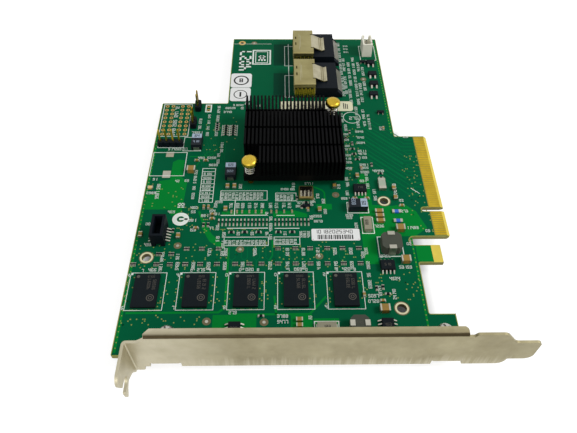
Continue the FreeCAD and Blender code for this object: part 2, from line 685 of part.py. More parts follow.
def make_sas_housing(y0):
    """The moulded insulator: a card slot inside the cage and the body behind it."""
    t = SAS_SHEET
    y1 = y0 + SAS_WIDTH
    top = SAS_SHELL_HEIGHT - t
    inner_front = SAS_MOUTH_X + SAS_CAVITY_DEPTH
    body = box(SAS_SHELL_BACK, SAS_HOUSING_BACK, y0, y1, 0, SAS_HOUSING_HEIGHT)
    insert = box(inner_front, SAS_SHELL_BACK, y0 + t, y1 - t, 0, SAS_HOUSING_HEIGHT)
    roof = box(inner_front, SAS_SHELL_BACK - 1.3, y0 + t, y1 - t, SAS_HOUSING_HEIGHT, top - 0.3)
    slot_middle = SAS_SHELL_HEIGHT / 2 - 0.2
    slot = box(inner_front - 1, inner_front + 2.4, y0 + 1.6, y1 - 1.6,
               slot_middle - SAS_CARD_SLOT / 2, slot_middle + SAS_CARD_SLOT / 2)
    feet_y = [(y0, y0 + SAS_END_BLOCK), (y1 - 0.6, y1)]
    feet = [side_profile([(SAS_HOUSING_BACK, 0, 0), (SAS_HOUSING_BACK + 2.3, 0, 0),
                          (SAS_HOUSING_BACK + 2.3, 1.0, 0), (SAS_HOUSING_BACK, 3.2, 0)],
                         a, b) for a, b in feet_y]
    chamfer = end_profile([(y0 - 1, SAS_HOUSING_HEIGHT + 1, 0),
                           (y0 - 1, SAS_HOUSING_HEIGHT - 0.5, 0),
                           (y0 + 0.5, SAS_HOUSING_HEIGHT + 1, 0)],
                          SAS_SHELL_BACK, SAS_HOUSING_BACK + 3)
    solid = body.multiFuse([insert, roof] + feet)
    return solid.cut(slot).cut(chamfer).removeSplitter()


def make_sas_tails(y0):
    """The row of solder tails that slope from the housing down to their pads."""
    first = y0 + SAS_END_BLOCK + 0.4
    back = SAS_HOUSING_BACK
    tails = []
    for i in range(SAS_TAIL_COUNT):
        y = first + i * SAS_TAIL_PITCH
        tails.append(side_profile([
            (back, 2.9, 0), (back, 2.6, 0), (back + SAS_TAIL_REACH - 1.2, 0, 0),
            (back + SAS_TAIL_REACH, 0, 0), (back + SAS_TAIL_REACH, 0.3, 0)],
            y, y + SAS_TAIL_PITCH * 0.6))
    return Part.makeCompound(tails)


# ---------------------------------------------------------------- headers and connectors

def make_header_body(pins):
    """A header's insulator: one eight-sided cell for each pin, with square pin holes."""
    cells = []
    half, chamfer = HEADER_PITCH / 2, HEADER_CHAMFER
    for x, y in pins:
        cells.append(plate([
            (x - half + chamfer, y - half, 0), (x + half - chamfer, y - half, 0),
            (x + half, y - half + chamfer, 0), (x + half, y + half - chamfer, 0),
            (x + half - chamfer, y + half, 0), (x - half + chamfer, y + half, 0),
            (x - half, y + half - chamfer, 0), (x - half, y - half + chamfer, 0)],
            0, HEADER_HEIGHT))
    body = cells[0].multiFuse(cells[1:]).removeSplitter()
    pin = (HEADER_PIN, HEADER_PIN)
    return cut_all(body, [block(p, pin, -1, HEADER_HEIGHT + 1) for p in pins])


def make_header_pin(place):
    """A square pin with a tapered tip, through the board to the solder side."""
    shank_top = HEADER_PIN_TOP - 0.6
    size = (HEADER_PIN, HEADER_PIN)
    shank = block(place, size, SOLDER_FACE - HEADER_PIN_TAIL, shank_top)
    return shank.fuse(tapered(place, size, shank_top, HEADER_PIN_TOP, 0.18))


def make_battery_header():
    """A white upright shroud with an open top, two wall slots and holes for its pins."""
    place, (dx, dy) = BATTERY_HEADER_PLACE, BATTERY_HEADER_SIZE
    x, y = place
    wall = BATTERY_HEADER_WALL
    floor = 1.6
    body = block(place, (dx, dy), 0, BATTERY_HEADER_HEIGHT)
    cavity = block(place, (dx - 2 * wall, dy - 2 * wall), floor, BATTERY_HEADER_HEIGHT + 1)
    side = box(x - 1.0, x + 1.0, y + dy / 2 - wall - 1, y + dy / 2 + 1,
               BATTERY_HEADER_HEIGHT - 2.6, BATTERY_HEADER_HEIGHT + 1)
    keys = [box(x + dx / 2 - wall - 1, x + dx / 2 + 1, y + o - 0.4, y + o + 0.4,
                floor + 0.4, BATTERY_HEADER_HEIGHT + 1) for o in (-2.2, 2.2)]
    pins = [block(p, (BATTERY_PIN, BATTERY_PIN), -1, floor + 1) for p in battery_pin_places()]
    return cut_all(body, [cavity, side] + keys + pins)


def make_battery_pins():
    return Part.makeCompound([
        block(p, (BATTERY_PIN, BATTERY_PIN), SOLDER_FACE - HEADER_PIN_TAIL, BATTERY_HEADER_HEIGHT - 1.2)
        for p in battery_pin_places()])


def make_debug_housing():
    """A black surface-mount box header with a deep cavity and a polarising gap."""
    place, (dx, dy) = DEBUG_PLACE, DEBUG_SIZE
    x, y = place
    body = block(place, (dx, dy), 0, DEBUG_HEIGHT)
    cavity = block(place, (dx - 2 * DEBUG_WALL, dy - 2 * DEBUG_WALL), 1.4, DEBUG_HEIGHT + 1)
    gap = box(x - 0.9, x + 0.9, y - dy / 2 - 1, y - dy / 2 + DEBUG_WALL + 0.2, -1, 1.6)
    return cut_all(body, [cavity, gap])


def make_debug_contacts():
    """The sloping feet along both sides of the debug connector."""
    x, y = DEBUG_PLACE
    half = DEBUG_SIZE[0] / 2
    contacts = []
    for i in range(DEBUG_CONTACT_COUNT):
        middle = y + (i - (DEBUG_CONTACT_COUNT - 1) / 2) * DEBUG_CONTACT_PITCH
        for side in (-1, 1):
            foot = gull_wing(half + 1.5, half, 0.45)
            if side < 0:
                foot.rotate(Vector(0, 0, 0), Z_AXIS, 180)
            contacts.append(moved(foot, x, middle, 0))
    return Part.makeCompound(contacts)


# ---------------------------------------------------------------- small packages

SOIC_BODY = (4.95, 3.9)
SOIC_HEIGHT = 1.5
SOIC_STANDOFF = 0.15
SOIC_REACH = 3.05               # middle of the package to the end of a lead
SOIC_PITCH = 1.27
SOICS = [("fan_controller_ic", DATUM, (-30.1, 9.7), 0),
         ("regulator_ic_1", DATUM, (-24.0, -25.5), 0),
         ("regulator_ic_2", NEAR_EDGE, (-26.7, 9.05), 90),
         ("supervisor_ic", TOP_NEAR_CORNER, (36.55, 8.15), 90)]

POWER_BODY = (3.9, 2.9)
POWER_HEIGHT = 1.4
POWER_LEAD_REACH = 1.4          # body's side to the end of a lead
POWER_DEVICES = [("power_transistor_1", (-17.6, -20.4)), ("power_transistor_2", (-17.6, -29.1)),
                 ("power_transistor_3", (-17.7, -36.3)), ("power_transistor_4", (-18.6, -43.9))]


def gull_wing(reach, body_edge, width, thickness=0.25, exit_level=0.9):
    """A lead along +X that slopes from the body's side down to its foot on the board."""
    return side_profile([
        (body_edge, exit_level, 0), (body_edge, exit_level - 2 * thickness, 0),
        (reach, 0, 0), (reach, thickness, 0)], -width / 2, width / 2)


def soic_leads(place, angle):
    leads = []
    for i in range(4):
        along = (i - 1.5) * SOIC_PITCH
        for side in (90, -90):
            lead = gull_wing(SOIC_REACH, SOIC_BODY[1] / 2, 0.42)
            lead.rotate(Vector(0, 0, 0), Z_AXIS, side)
            lead.translate(Vector(place[0] + along, place[1], 0))
            leads.append(turned_about(lead, place, angle))
    return leads


def make_soics():
    bodies, leads = {}, []
    for name, anchor, offset, angle in SOICS:
        place = placed(anchor, offset)
        low = tapered(place, SOIC_BODY, SOIC_STANDOFF, SOIC_HEIGHT, 0.12)
        bodies[name] = turned_about(low, place, angle)
        leads += soic_leads(place, angle)
    return bodies, leads


def power_leads(place):
    """Two leads to the near side and one wide one to the far side."""
    leads = []
    for along, side, width in ((-1.1, -90, 0.7), (1.1, -90, 0.7), (0, 90, 1.6)):
        lead = gull_wing(POWER_BODY[1] / 2 + POWER_LEAD_REACH, POWER_BODY[1] / 2, width)
        lead.rotate(Vector(0, 0, 0), Z_AXIS, side)
        leads.append(moved(lead, place[0] + along, place[1], 0))
    return leads


def make_power_devices():
    bodies, leads = {}, []
    for name, offset in POWER_DEVICES:
        place = placed(REAR_EDGE, offset)
        bodies[name] = tapered(place, POWER_BODY, 0.05, POWER_HEIGHT, 0.15)
        leads += power_leads(place)
    return bodies, leads


# Moulded capacitors with wrapped end terminals: (length, width, height), then each one's
# name, anchor, offset and angle.
TANTALUM_SIZE = (7.3, 4.2, 2.9)
POLYMER_SIZE = (6.6, 2.9, 1.6)
TANTALUMS = [("tantalum_capacitor_1", TOP_EDGE, (17.45, 34.9), 90),
             ("tantalum_capacitor_2", SINK_SIDE, (-5.35, 18.3), 90),
             ("tantalum_capacitor_3", DATUM, (-31.7, 0.85), 0)]
POLYMERS = [("polymer_capacitor_1", DATUM, (-28.9, -7.5), 90),
            ("polymer_capacitor_2", NEAR_EDGE, (-45.8, 8.85), 0)]
TERMINAL_SHEET = 0.25


def moulded_capacitor(place, size, angle):
    """A moulded body and its two bent end terminals, lying along X before the turn."""
    x, y = place
    length, width, height = size
    half = length / 2
    core = (length - 2 * TERMINAL_SHEET, width)
    body = tapered(place, core, TERMINAL_SHEET, height, 0.1)
    keep = box(x - half, x + half, y - width, y + width, 0, height)
    terminals = []
    for side in (0, 180):
        strip = side_profile([
            (half - 1.6, 0, 0), (half, 0, 0), (half, height * 0.55, 0),
            (half - TERMINAL_SHEET, height * 0.55, 0), (half - TERMINAL_SHEET, TERMINAL_SHEET, 0),
            (half - 1.6, TERMINAL_SHEET, 0)], -width * 0.28, width * 0.28)
        strip.rotate(Vector(0, 0, 0), Z_AXIS, side)
        strip.translate(Vector(x, y, 0))
        terminals.append(turned_about(strip.common(keep), place, angle))
    return turned_about(body, place, angle), terminals


# Ceramic chip capacitors: anchor, offset, size code, angle.
CHIP_SIZES = {"large": (3.2, 2.5, 1.9, 0.5), "middle": (3.0, 1.5, 1.2, 0.5),
              "small": (2.1, 1.3, 1.1, 0.35)}
CERAMICS = [
    (TOP_EDGE, (16.55, 19.9), "large", 0), (NEAR_EDGE, (-27.0, 15.05), "large", 0),
    (DATUM, (-17.5, -23.1), "large", 0), (DATUM, (-17.5, -9.5), "large", 0),
    (DATUM, (-24.1, -1.3), "middle", 0), (DATUM, (-24.1, -3.5), "middle", 0),
    (DATUM, (-24.1, -5.8), "middle", 0), (NEAR_EDGE, (-54.3, 11.55), "small", 0),
    (NEAR_EDGE, (-54.3, 9.55), "small", 0), (SINK_SIDE, (-6.25, 11.3), "small", 90),
    (SINK_SIDE, (-3.65, 11.3), "small", 90), (SINK_SIDE, (-6.35, 0.0), "small", 90),
    (DATUM, (-45.8, -0.4), "small", 90), (DATUM, (-39.6, 11.3), "small", 90),
    (TOP_EDGE, (15.15, -12.3), "small", 90), (TOP_EDGE, (1.85, -11.6), "small", 90),
    (DATUM, (-17.2, 10.2), "small", 90), (DATUM, (-17.2, 5.4), "small", 90),
    (DATUM, (-30.5, 16.6), "small", 90),
]


def chip_part(place, size, angle):
    """A chip component: its middle and its two end caps."""
    x, y = place
    length, width, height, cap = size
    half = length / 2
    middle = block(place, (length - 2 * cap, width - 0.06), 0.03, height - 0.03)
    caps = [box(x - half, x - half + cap, y - width / 2, y + width / 2, 0, height),
            box(x + half - cap, x + half, y - width / 2, y + width / 2, 0, height)]
    return turned_about(middle, place, angle), [turned_about(c, place, angle) for c in caps]


def make_ceramics():
    middles, caps = [], []
    for anchor, offset, code, angle in CERAMICS:
        middle, ends = chip_part(placed(anchor, offset), CHIP_SIZES[code], angle)
        middles.append(middle)
        caps += ends
    return middles, caps


FUSE_PLACE = (-21.5, 12.0)
FUSE_SIZE = (5.4, 2.7, 1.4, 1.3)
THERMISTORS = [(-17.7, -1.3), (-17.7, -5.7)]
THERMISTOR_SIZE = (3.2, 1.5, 0.7, 0.85)
STATUS_LED_OFFSET = (2.05, 10.9)
STATUS_LED_SIZE = (2.0, 1.3, 0.8, 0.35)


# Power inductors: name, anchor, offset, (side, height), angle of the terminals.
INDUCTORS = [("inductor_1", DATUM, (-21.9, -17.0), (6.9, 3.8), 90),
             ("inductor_2", NEAR_EDGE, (-35.7, 8.75), (5.7, 3.2), 0)]
INDUCTOR_CORNER = 1.1
INDUCTOR_STRIP = 0.25


def make_inductor(place, size, angle):
    """A pressed core with cut corners, and a bent terminal on each of two sides."""
    x, y = place
    side, height = size
    half, c = side / 2, INDUCTOR_CORNER
    core = plate([
        (x - half + c, y - half, 0), (x + half - c, y - half, 0), (x + half, y - half + c, 0),
        (x + half, y + half - c, 0), (x + half - c, y + half, 0), (x - half + c, y + half, 0),
        (x - half, y + half - c, 0), (x - half, y - half + c, 0)], 0, height)
    t = INDUCTOR_STRIP
    width = side * 0.36
    terminals = []
    for turn in (0, 180):
        strip = side_profile([
            (half, 0, 0), (half + t, 0, 0), (half + t, height + t, 0),
            (half - 1.3, height + t, 0), (half - 1.3, height, 0), (half, height, 0)],
            -width / 2, width / 2)
        strip.rotate(Vector(0, 0, 0), Z_AXIS, turn)
        strip.translate(Vector(x, y, 0))
        terminals.append(turned_about(strip, place, angle))
    return turned_about(core, place, angle), terminals


OSCILLATOR_PLACE = (-50.5, 7.8)
OSCILLATOR_SIZE = (5.4, 6.2)
OSCILLATOR_BASE = 1.1
OSCILLATOR_LID = 0.2


# Stuck-on labels: name, anchor, near left corner from the anchor, (width, depth).
LABEL_THICKNESS = 0.12
LABELS = [
    ("part_label", DATUM, (-49.2, -14.3), (17.1, 5.2)),
    ("approval_label_1", REAR_TOP_CORNER, (0.45, -38.5), (9.4, 10.3)),
    ("approval_label_2", REAR_TOP_CORNER, (0.65, -48.1), (9.0, 9.3)),
    ("cable_label", REAR_EDGE, (-60.4, -54.8), (31.9, 6.5)),
]


def make_label(corner, size):
    x, y = corner
    return box(x, x + size[0], y, y + size[1], 0, LABEL_THICKNESS)


# ---------------------------------------------------------------- assembly

def build_nodes():
    nodes = {
        "circuit_board": make_board(),
        "contacts_component_side": make_contacts(0),
        "contacts_solder_side": make_contacts(SOLDER_FACE - CONTACT_THICKNESS),
        "slot_bracket": make_bracket(),
        "bracket_screws": Part.makeCompound([make_bracket_screw(s) for s in BRACKET_SCREWS]),
        "star_washers": Part.makeCompound([make_star_washer(s) for s in BRACKET_SCREWS]),
        "heatsink": make_heatsink(),
        "spring_pins": Part.makeCompound([make_spring_pin(p) for p in SPRING_PINS]),
        "pin_springs": Part.makeCompound([make_spring(p) for p in SPRING_PINS]),
        "serial_header": make_header_body(serial_pins()),
        "jumper_header_1": make_header_body(jumper_pins(JUMPER_HEADERS[0])),
        "jumper_header_2": make_header_body(jumper_pins(JUMPER_HEADERS[1])),
        "header_pins": Part.makeCompound([make_header_pin(p) for p in all_header_pins()]),
        "battery_header": make_battery_header(),
        "battery_header_pins": make_battery_pins(),
        "debug_connector": make_debug_housing(),
        "debug_connector_contacts": make_debug_contacts(),
    }
    nodes.update(make_controller_parts())
    nodes.update(make_memory_chips())
    for i in range(2):
        y0 = SAS_FIRST_Y + i * SAS_PITCH
        nodes[f"sas_shell_{i + 1}"] = make_sas_shell(y0)
        nodes[f"sas_housing_{i + 1}"] = make_sas_housing(y0)
        nodes[f"sas_tails_{i + 1}"] = make_sas_tails(y0)
    soic_bodies, soic_all_leads = make_soics()
    power_bodies, power_all_leads = make_power_devices()
    nodes.update(soic_bodies)
    nodes.update(power_bodies)
    nodes["package_leads"] = Part.makeCompound(soic_all_leads + power_all_leads)
    terminals = []
    for name, anchor, offset, angle in TANTALUMS:
        nodes[name], ends = moulded_capacitor(placed(anchor, offset), TANTALUM_SIZE, angle)
        terminals += ends
    for name, anchor, offset, angle in POLYMERS:
        nodes[name], ends = moulded_capacitor(placed(anchor, offset), POLYMER_SIZE, angle)
        terminals += ends
    for name, anchor, offset, size, angle in INDUCTORS:
        nodes[name], ends = make_inductor(placed(anchor, offset), size, angle)
        terminals += ends
    middles, caps = make_ceramics()
    nodes["ceramic_capacitors"] = Part.makeCompound(middles)
    nodes["surface_fuse"], ends = chip_part(FUSE_PLACE, FUSE_SIZE, 90)
    caps += ends
    nodes["status_led"], ends = chip_part(placed(TOP_EDGE, STATUS_LED_OFFSET), STATUS_LED_SIZE, 0)
    caps += ends
    blues = []
    for place in THERMISTORS:
        middle, ends = chip_part(place, THERMISTOR_SIZE, 0)
        blues.append(middle)
        caps += ends
    nodes["thermistors"] = Part.makeCompound(blues)
    nodes["chip_end_caps"] = Part.makeCompound(caps)
    nodes["moulded_part_terminals"] = Part.makeCompound(terminals)
    nodes["oscillator_base"] = block(OSCILLATOR_PLACE, OSCILLATOR_SIZE, 0, OSCILLATOR_BASE)
    nodes["oscillator_lid"] = block(
        OSCILLATOR_PLACE, (OSCILLATOR_SIZE[0] - 1.0, OSCILLATOR_SIZE[1] - 1.2),
        OSCILLATOR_BASE, OSCILLATOR_BASE + OSCILLATOR_LID)
    for name, anchor, offset, size in LABELS:
        nodes[name] = make_label(placed(anchor, offset), size)
    return nodes


os.makedirs("parts", exist_ok=True)
for node_name, node_shape in build_nodes().items():
    node_shape.exportStep(f"parts/{node_name}.step")
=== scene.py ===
# %% [markdown]
# # A RAID controller card, dressed
# The card arrives as plain solids: board, bracket, heatsink, chips and connectors. This lesson
# gives each of them the finish that the real piece has, and adds what is too fine to be a solid:
# the print, the pads, the vias and the smallest chip parts. What belongs to a solid is placed from
# that solid's own box. Print, tracks and the smallest parts belong to the bare board, so they are
# placed in millimetres from the origin, which is the middle of the key notch.

# %% Load the card
import json
import math
import random

import bmesh
import bpy
from mathutils import Matrix, Vector


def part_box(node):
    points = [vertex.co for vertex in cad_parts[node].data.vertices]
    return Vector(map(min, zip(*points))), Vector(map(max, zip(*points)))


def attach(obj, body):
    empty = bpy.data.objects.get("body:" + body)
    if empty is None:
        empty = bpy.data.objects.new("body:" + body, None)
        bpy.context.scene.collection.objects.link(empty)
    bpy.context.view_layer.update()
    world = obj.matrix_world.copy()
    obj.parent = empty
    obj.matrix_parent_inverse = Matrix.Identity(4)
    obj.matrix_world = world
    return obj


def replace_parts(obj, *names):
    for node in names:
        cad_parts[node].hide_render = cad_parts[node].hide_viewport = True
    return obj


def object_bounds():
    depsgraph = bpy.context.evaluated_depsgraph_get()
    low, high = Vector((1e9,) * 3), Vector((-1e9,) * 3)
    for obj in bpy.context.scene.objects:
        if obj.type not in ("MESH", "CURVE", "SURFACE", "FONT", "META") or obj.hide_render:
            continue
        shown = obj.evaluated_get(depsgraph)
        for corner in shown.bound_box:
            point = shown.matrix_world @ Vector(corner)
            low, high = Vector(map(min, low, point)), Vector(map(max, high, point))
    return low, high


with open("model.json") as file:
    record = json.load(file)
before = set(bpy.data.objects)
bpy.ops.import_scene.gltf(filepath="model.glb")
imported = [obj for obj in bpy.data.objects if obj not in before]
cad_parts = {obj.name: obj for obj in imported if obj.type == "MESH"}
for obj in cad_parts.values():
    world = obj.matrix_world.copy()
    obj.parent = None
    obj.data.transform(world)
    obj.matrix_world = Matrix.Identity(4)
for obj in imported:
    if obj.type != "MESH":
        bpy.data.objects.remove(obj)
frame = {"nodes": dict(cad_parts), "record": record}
solid_low, solid_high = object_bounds()
nodes = frame["nodes"]
link = bpy.context.scene.collection.objects.link
MM = 0.001
print("card loaded:", len(nodes), "solids")

# %% [markdown]
# ## Writing a finish as sums
# A procedural material is arithmetic: a little noise times a little contrast, added to a colour.
# Blender spells that with one node for every operation. The small class below wraps a socket, so
# that `base + 0.2 * noise` makes those nodes by itself. Numbers go through Math nodes. Colours and
# vectors go through Mix and Vector Math, because a Math node would turn a colour grey.

# %% A socket that can be written in a sum
class Wire:
    """A shader socket that adds nodes to its finish when it is used in an expression."""

    def __init__(self, finish, socket):
        self.finish = finish
        self.socket = socket

    def _sum(self, operation, first, second):
        kinds = {w.socket.type for w in (first, second) if isinstance(w, Wire)}
        if "VECTOR" in kinds and operation == "MULTIPLY" and isinstance(second, (int, float)):
            return self.finish.node("ShaderNodeVectorMath", {"operation": "SCALE"},
                                    {0: first, "Scale": second})
        if "VECTOR" in kinds:
            return self.finish.node("ShaderNodeVectorMath", {"operation": operation},
                                    {0: first, 1: second})
        if "RGBA" in kinds:
            return self.finish.node("ShaderNodeMix", {"data_type": "RGBA", "blend_type": operation},
                                    {0: 1.0, 6: first, 7: second}, 2)
        return self.finish.node("ShaderNodeMath", {"operation": operation}, {0: first, 1: second})

    def __add__(self, other):
        return self._sum("ADD", self, other)

    def __radd__(self, other):
        return self._sum("ADD", self, other)

    def __sub__(self, other):
        return self._sum("SUBTRACT", self, other)

    def __rsub__(self, other):
        return self._sum("SUBTRACT", other, self)

    def __mul__(self, other):
        return self._sum("MULTIPLY", self, other)

    def __rmul__(self, other):
        return self._sum("MULTIPLY", self, other)

    def __truediv__(self, other):
        return self._sum("DIVIDE", self, other)

    def __rtruediv__(self, other):
        return self._sum("DIVIDE", other, self)

    def __gt__(self, other):
        return self._sum("GREATER_THAN", self, other)

    def __lt__(self, other):
        return self._sum("LESS_THAN", self, other)

    def __abs__(self):
        return self.finish.node("ShaderNodeMath", {"operation": "ABSOLUTE"}, {0: self})


print("sockets can be written in sums, with + - * / < > and abs")

# %% [markdown]
# ## One finish, one object
# A node tree is filled by one method, `node`. It takes the node's type, its settings, which are
# set first, and then what goes into its sockets. A `Finish` is the tree of one material. A value
# that is the same all over goes straight onto the shader's own socket through `shader`, and only
# what really changes over a surface is wired.

# %% A finish and the nodes in it
class Tree:
    """A node tree that is filled from expressions."""

    def __init__(self, tree):
        self.tree = tree

    def put(self, socket, value):
        """Links a socket to a wire, or sets its value."""
        if isinstance(value, Wire):
            self.tree.links.new(value.socket, socket)
        elif socket.type == "RGBA":
            socket.default_value = (*value, 1.0)
        else:
            socket.default_value = value

    def node(self, kind, settings, inputs, output=0):
        """Adds a node with its settings and inputs, and gives one of its outputs."""
        made = self.tree.nodes.new(kind)
        for name, value in settings.items():
            setattr(made, name, value)
        for name, value in inputs.items():
            self.put(made.inputs[name], value)
        return Wire(self, made.outputs[output])


class Finish(Tree):
    """A material with one Principled shader."""

    def __init__(self, name):
        self.material = bpy.data.materials.new(name)
        self.material.use_nodes = True
        super().__init__(self.material.node_tree)
        self.principled = self.tree.nodes["Principled BSDF"]
        self.place = self.node("ShaderNodeTexCoord", {}, {}, "Object") * (1 / MM)

    def noise(self, size, detail=3.0, rough=0.5, stretch=None, seed=0.0):
        """Noise from 0 to 1 whose blotches are about size millimetres across."""
        place = self.place
        if stretch:
            place = place * stretch
        if seed:
            place = place + (seed, 1.7 * seed, -seed)
        return self.node("ShaderNodeTexNoise", {},
                         {"Vector": place, "Scale": 1 / size, "Detail": detail,
                          "Roughness": rough})

    def blend(self, mask, first, second):
        """first where the mask is 0, second where it is 1."""
        return self.node("ShaderNodeMix", {"data_type": "RGBA"}, {0: mask, 6: first, 7: second}, 2)

    def shader(self, **sockets):
        """Sets the Principled shader's sockets, named with underscores for spaces."""
        for name, value in sockets.items():
            self.put(self.principled.inputs[name.replace("_", " ")], value)
        return self

    def bump(self, height, depth):
        """Turns a height from 0 to 1 into a dent or rise of depth millimetres."""
        normal = self.node("ShaderNodeBump", {}, {"Height": height, "Distance": depth * MM})
        return self.shader(Normal=normal)


def shade(colour, factor):
    """A colour made lighter or darker."""
    return tuple(min(1.0, channel * factor) for channel in colour)


print("half of white is", shade((1.0, 1.0, 1.0), 0.5))

# %% [markdown]
# ## Solder mask over glass cloth
# The green of a board is a lacquer over copper and resin. Where copper lies under it the lacquer
# looks brighter, and where there is only resin it looks deeper, so the mask is mottled. On the cut
# edge there is no lacquer at all: the edge shows the straw-coloured cloth. The face's own normal
# tells the two apart, which no texture map would do as simply.

# %% Mask, pours and tracks
MASK_GREEN = (0.0008, 0.100, 0.040)
POUR_GREEN = (0.0015, 0.205, 0.030)
TRACK_GREEN = (0.001, 0.155, 0.050)
# the mask colour used for the cable cages' painted shadows
SHADOWED_GREEN = (0.0015, 0.052, 0.026)
CLOTH = (0.42, 0.40, 0.16)


def mask_finish(name, colour, mottle=0.35, cut=0.0):
    """Solder mask on the flat faces, and bare cloth on the upright ones where cut is 1."""
    finish = Finish(name)
    cloud = finish.noise(9.0, detail=2.0)
    grain = finish.noise(0.6, detail=4.0, rough=0.7)
    shift = (cloud - 0.5) * mottle + (grain - 0.5) * 0.25
    lacquer = finish.blend(shift + 0.5, shade(colour, 0.78), shade(colour, 1.24))
    threads = finish.noise(0.25, detail=2.0, stretch=(0.4, 0.4, 6.0))
    cloth = finish.blend(threads, shade(CLOTH, 0.6), shade(CLOTH, 1.15))
    normal = finish.node("ShaderNodeNewGeometry", {}, {}, "Normal")
    upright = finish.node("ShaderNodeSeparateXYZ", {}, {0: normal}, "Z")
    edge = cut * (abs(upright) < 0.5)
    finish.shader(Base_Color=finish.blend(edge, lacquer, cloth),
                  Roughness=0.34 + 0.16 * grain + 0.3 * edge,
                  Specular_IOR_Level=0.02)
    return finish.bump(0.7 * cloud + 0.3 * grain, 0.02)


FINISHES = {"laminate": mask_finish("solder_mask", MASK_GREEN, cut=1.0)}
pour_mask = mask_finish("mask_over_pours", POUR_GREEN, mottle=0.25)
track_mask = mask_finish("mask_over_tracks", TRACK_GREEN, mottle=0.25)
cage_shadow_mask = mask_finish("mask_in_painted_cage_shadow", SHADOWED_GREEN, mottle=0.25)
print("solder mask ready, open green", MASK_GREEN, "and over pours", POUR_GREEN)

# %% [markdown]
# ## Plated and rolled metal
# A plated sheet is never one colour. Rolling leaves long faint streaks, the bath leaves soft clouds
# and handling leaves smudges that change its gloss. One maker gives all of them, and each metal
# only says its colour, how strong each effect is and which way it was rolled.

# %% A maker for the metals
def metal_finish(name, colour, roughness, streaks=(1.0, 1.0, 1.0), size=1.2, depth=0.004,
                 cloud=0.2, tint=None):
    """A bare or plated metal with streaks along the axis that has the smallest stretch."""
    finish = Finish(name)
    patch = finish.noise(7.0, detail=3.0)
    streak = finish.noise(size, detail=4.0, rough=0.65, stretch=streaks)
    smudge = finish.noise(2.3, detail=2.0, seed=11.0)
    mix = (patch - 0.5) * 1.4 + (streak - 0.5) * 0.8 + 0.5
    light = shade(colour, 1 + cloud)
    dark = tint if tint else shade(colour, 1 - cloud)
    finish.colour = finish.blend(mix, dark, light)
    finish.shader(Base_Color=finish.colour, Metallic=1.0,
                  Roughness=roughness + 0.22 * (smudge - 0.5) + 0.16 * (streak - 0.5))
    return finish.bump(streak, depth)


FINISHES["steel"] = metal_finish("zinc_plated_screws", (0.44, 0.43, 0.39), 0.34, cloud=0.2)
FINISHES["gold"] = metal_finish(
    "gold_plate", (0.57, 0.40, 0.028), 0.32, streaks=(0.2, 3.0, 3.0), size=0.4,
    tint=(0.40, 0.27, 0.013), depth=0.002)
FINISHES["pin_brass"] = metal_finish(
    "turned_brass", (0.62, 0.45, 0.06), 0.3, size=0.5, tint=(0.42, 0.27, 0.018), depth=0.004)
FINISHES["spring_steel"] = metal_finish("bright_spring_wire", (0.62, 0.61, 0.55), 0.26, size=0.3)
FINISHES["lid_metal"] = metal_finish("nickel_lid", (0.58, 0.57, 0.54), 0.36)
FINISHES["cage_metal"] = metal_finish(
    "olive_nickel_cage", (0.33, 0.295, 0.135), 0.4, streaks=(0.08, 1.5, 1.5), size=0.8,
    tint=(0.24, 0.205, 0.08), cloud=0.15, depth=0.005)
FINISHES["tin"] = metal_finish("dull_tin", (0.42, 0.41, 0.345), 0.42, size=0.3, cloud=0.25)
FINISHES["oscillator_gold"] = metal_finish(
    "gilt_frame", (0.42, 0.33, 0.13), 0.36, size=0.5, tint=(0.30, 0.22, 0.07))
FINISHES["oscillator_lid"] = metal_finish(
    "lapped_lid", (0.46, 0.43, 0.32), 0.12, streaks=(0.1, 2.0, 2.0), cloud=0.12, depth=0.001)
print("metals ready:", len(FINISHES))

# %% [markdown]
# ## The bracket's own plating
# A long plated sheet shows how it hung in the bath: the lower edge is frosted with upright drag
# marks. The end by the ear gets a painted highlight, a bright cloud where the sheet would mirror
# the lamp, and the fold under the lip gets painted shade, a dark brown band on the bend where the
# curved sheet would mirror the dark ground, with a softer painted shade on the lip above it. These
# belong to places on the sheet, so they are masks made from the object's own coordinates over the
# plain metal.
# %% Drag marks, a painted highlight and painted shade on the fold
plate_low, plate_high = (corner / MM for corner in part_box("slot_bracket"))
PLATE_FACE = -59.05
LIP_BOUNDS = (-98.4, -7.2)
FROST_AND_HIGHLIGHT, FROST_REACH = (0.53, 0.49, 0.36), 14.0
HIGHLIGHT_X, HIGHLIGHT_REACH = -98.0, 26.0
BEND_SHADE, FOLD_BELOW_TOP = (0.055, 0.042, 0.022), 0.35
BEND_DEPTH, LIP_SHADE_DEPTH, BEND_SHADE_REACH = 1.3, 2.3, 0.6
plate = metal_finish(
    "nickel_plated_bracket", (0.330, 0.297, 0.185), 0.46, streaks=(0.5, 1.0, 0.3),
    cloud=0.16, tint=(0.252, 0.219, 0.122), depth=0.006)
plate_x, plate_y, plate_z = (plate.node("ShaderNodeSeparateXYZ", {}, {0: plate.place}, axis)
                             for axis in "XYZ")


def within(value, middle, reach):
    """1 at the middle and 0 beyond the reach, with straight sides."""
    return value.finish.node("ShaderNodeMath", {"operation": "MAXIMUM"},
                             {0: 1 - abs(value - middle) / reach, 1: 0.0})


drag = plate.noise(1.1, detail=4.0, rough=0.7, stretch=(1.0, 0.0, 0.02), seed=3.0)
frost = within(plate_z, plate_low.z, FROST_REACH * drag) * (0.3 + within(drag, 0.62, 0.3))
# painted highlight: a pale cloud by the ear end, where the sheet would mirror the lamp
painted_highlight = within(plate_x, HIGHLIGHT_X, HIGHLIGHT_REACH) * (0.5 + plate.noise(5.0, detail=2.0))
fold_level = plate_high.z - FOLD_BELOW_TOP
along_lip = (plate_x > LIP_BOUNDS[0]) * (plate_x < LIP_BOUNDS[1])
shade_breakup = plate.noise(1.4, detail=3.0, stretch=(0.5, 1.0, 1.0), seed=6.0)
on_bend = along_lip * within(plate_y, PLATE_FACE, BEND_DEPTH)
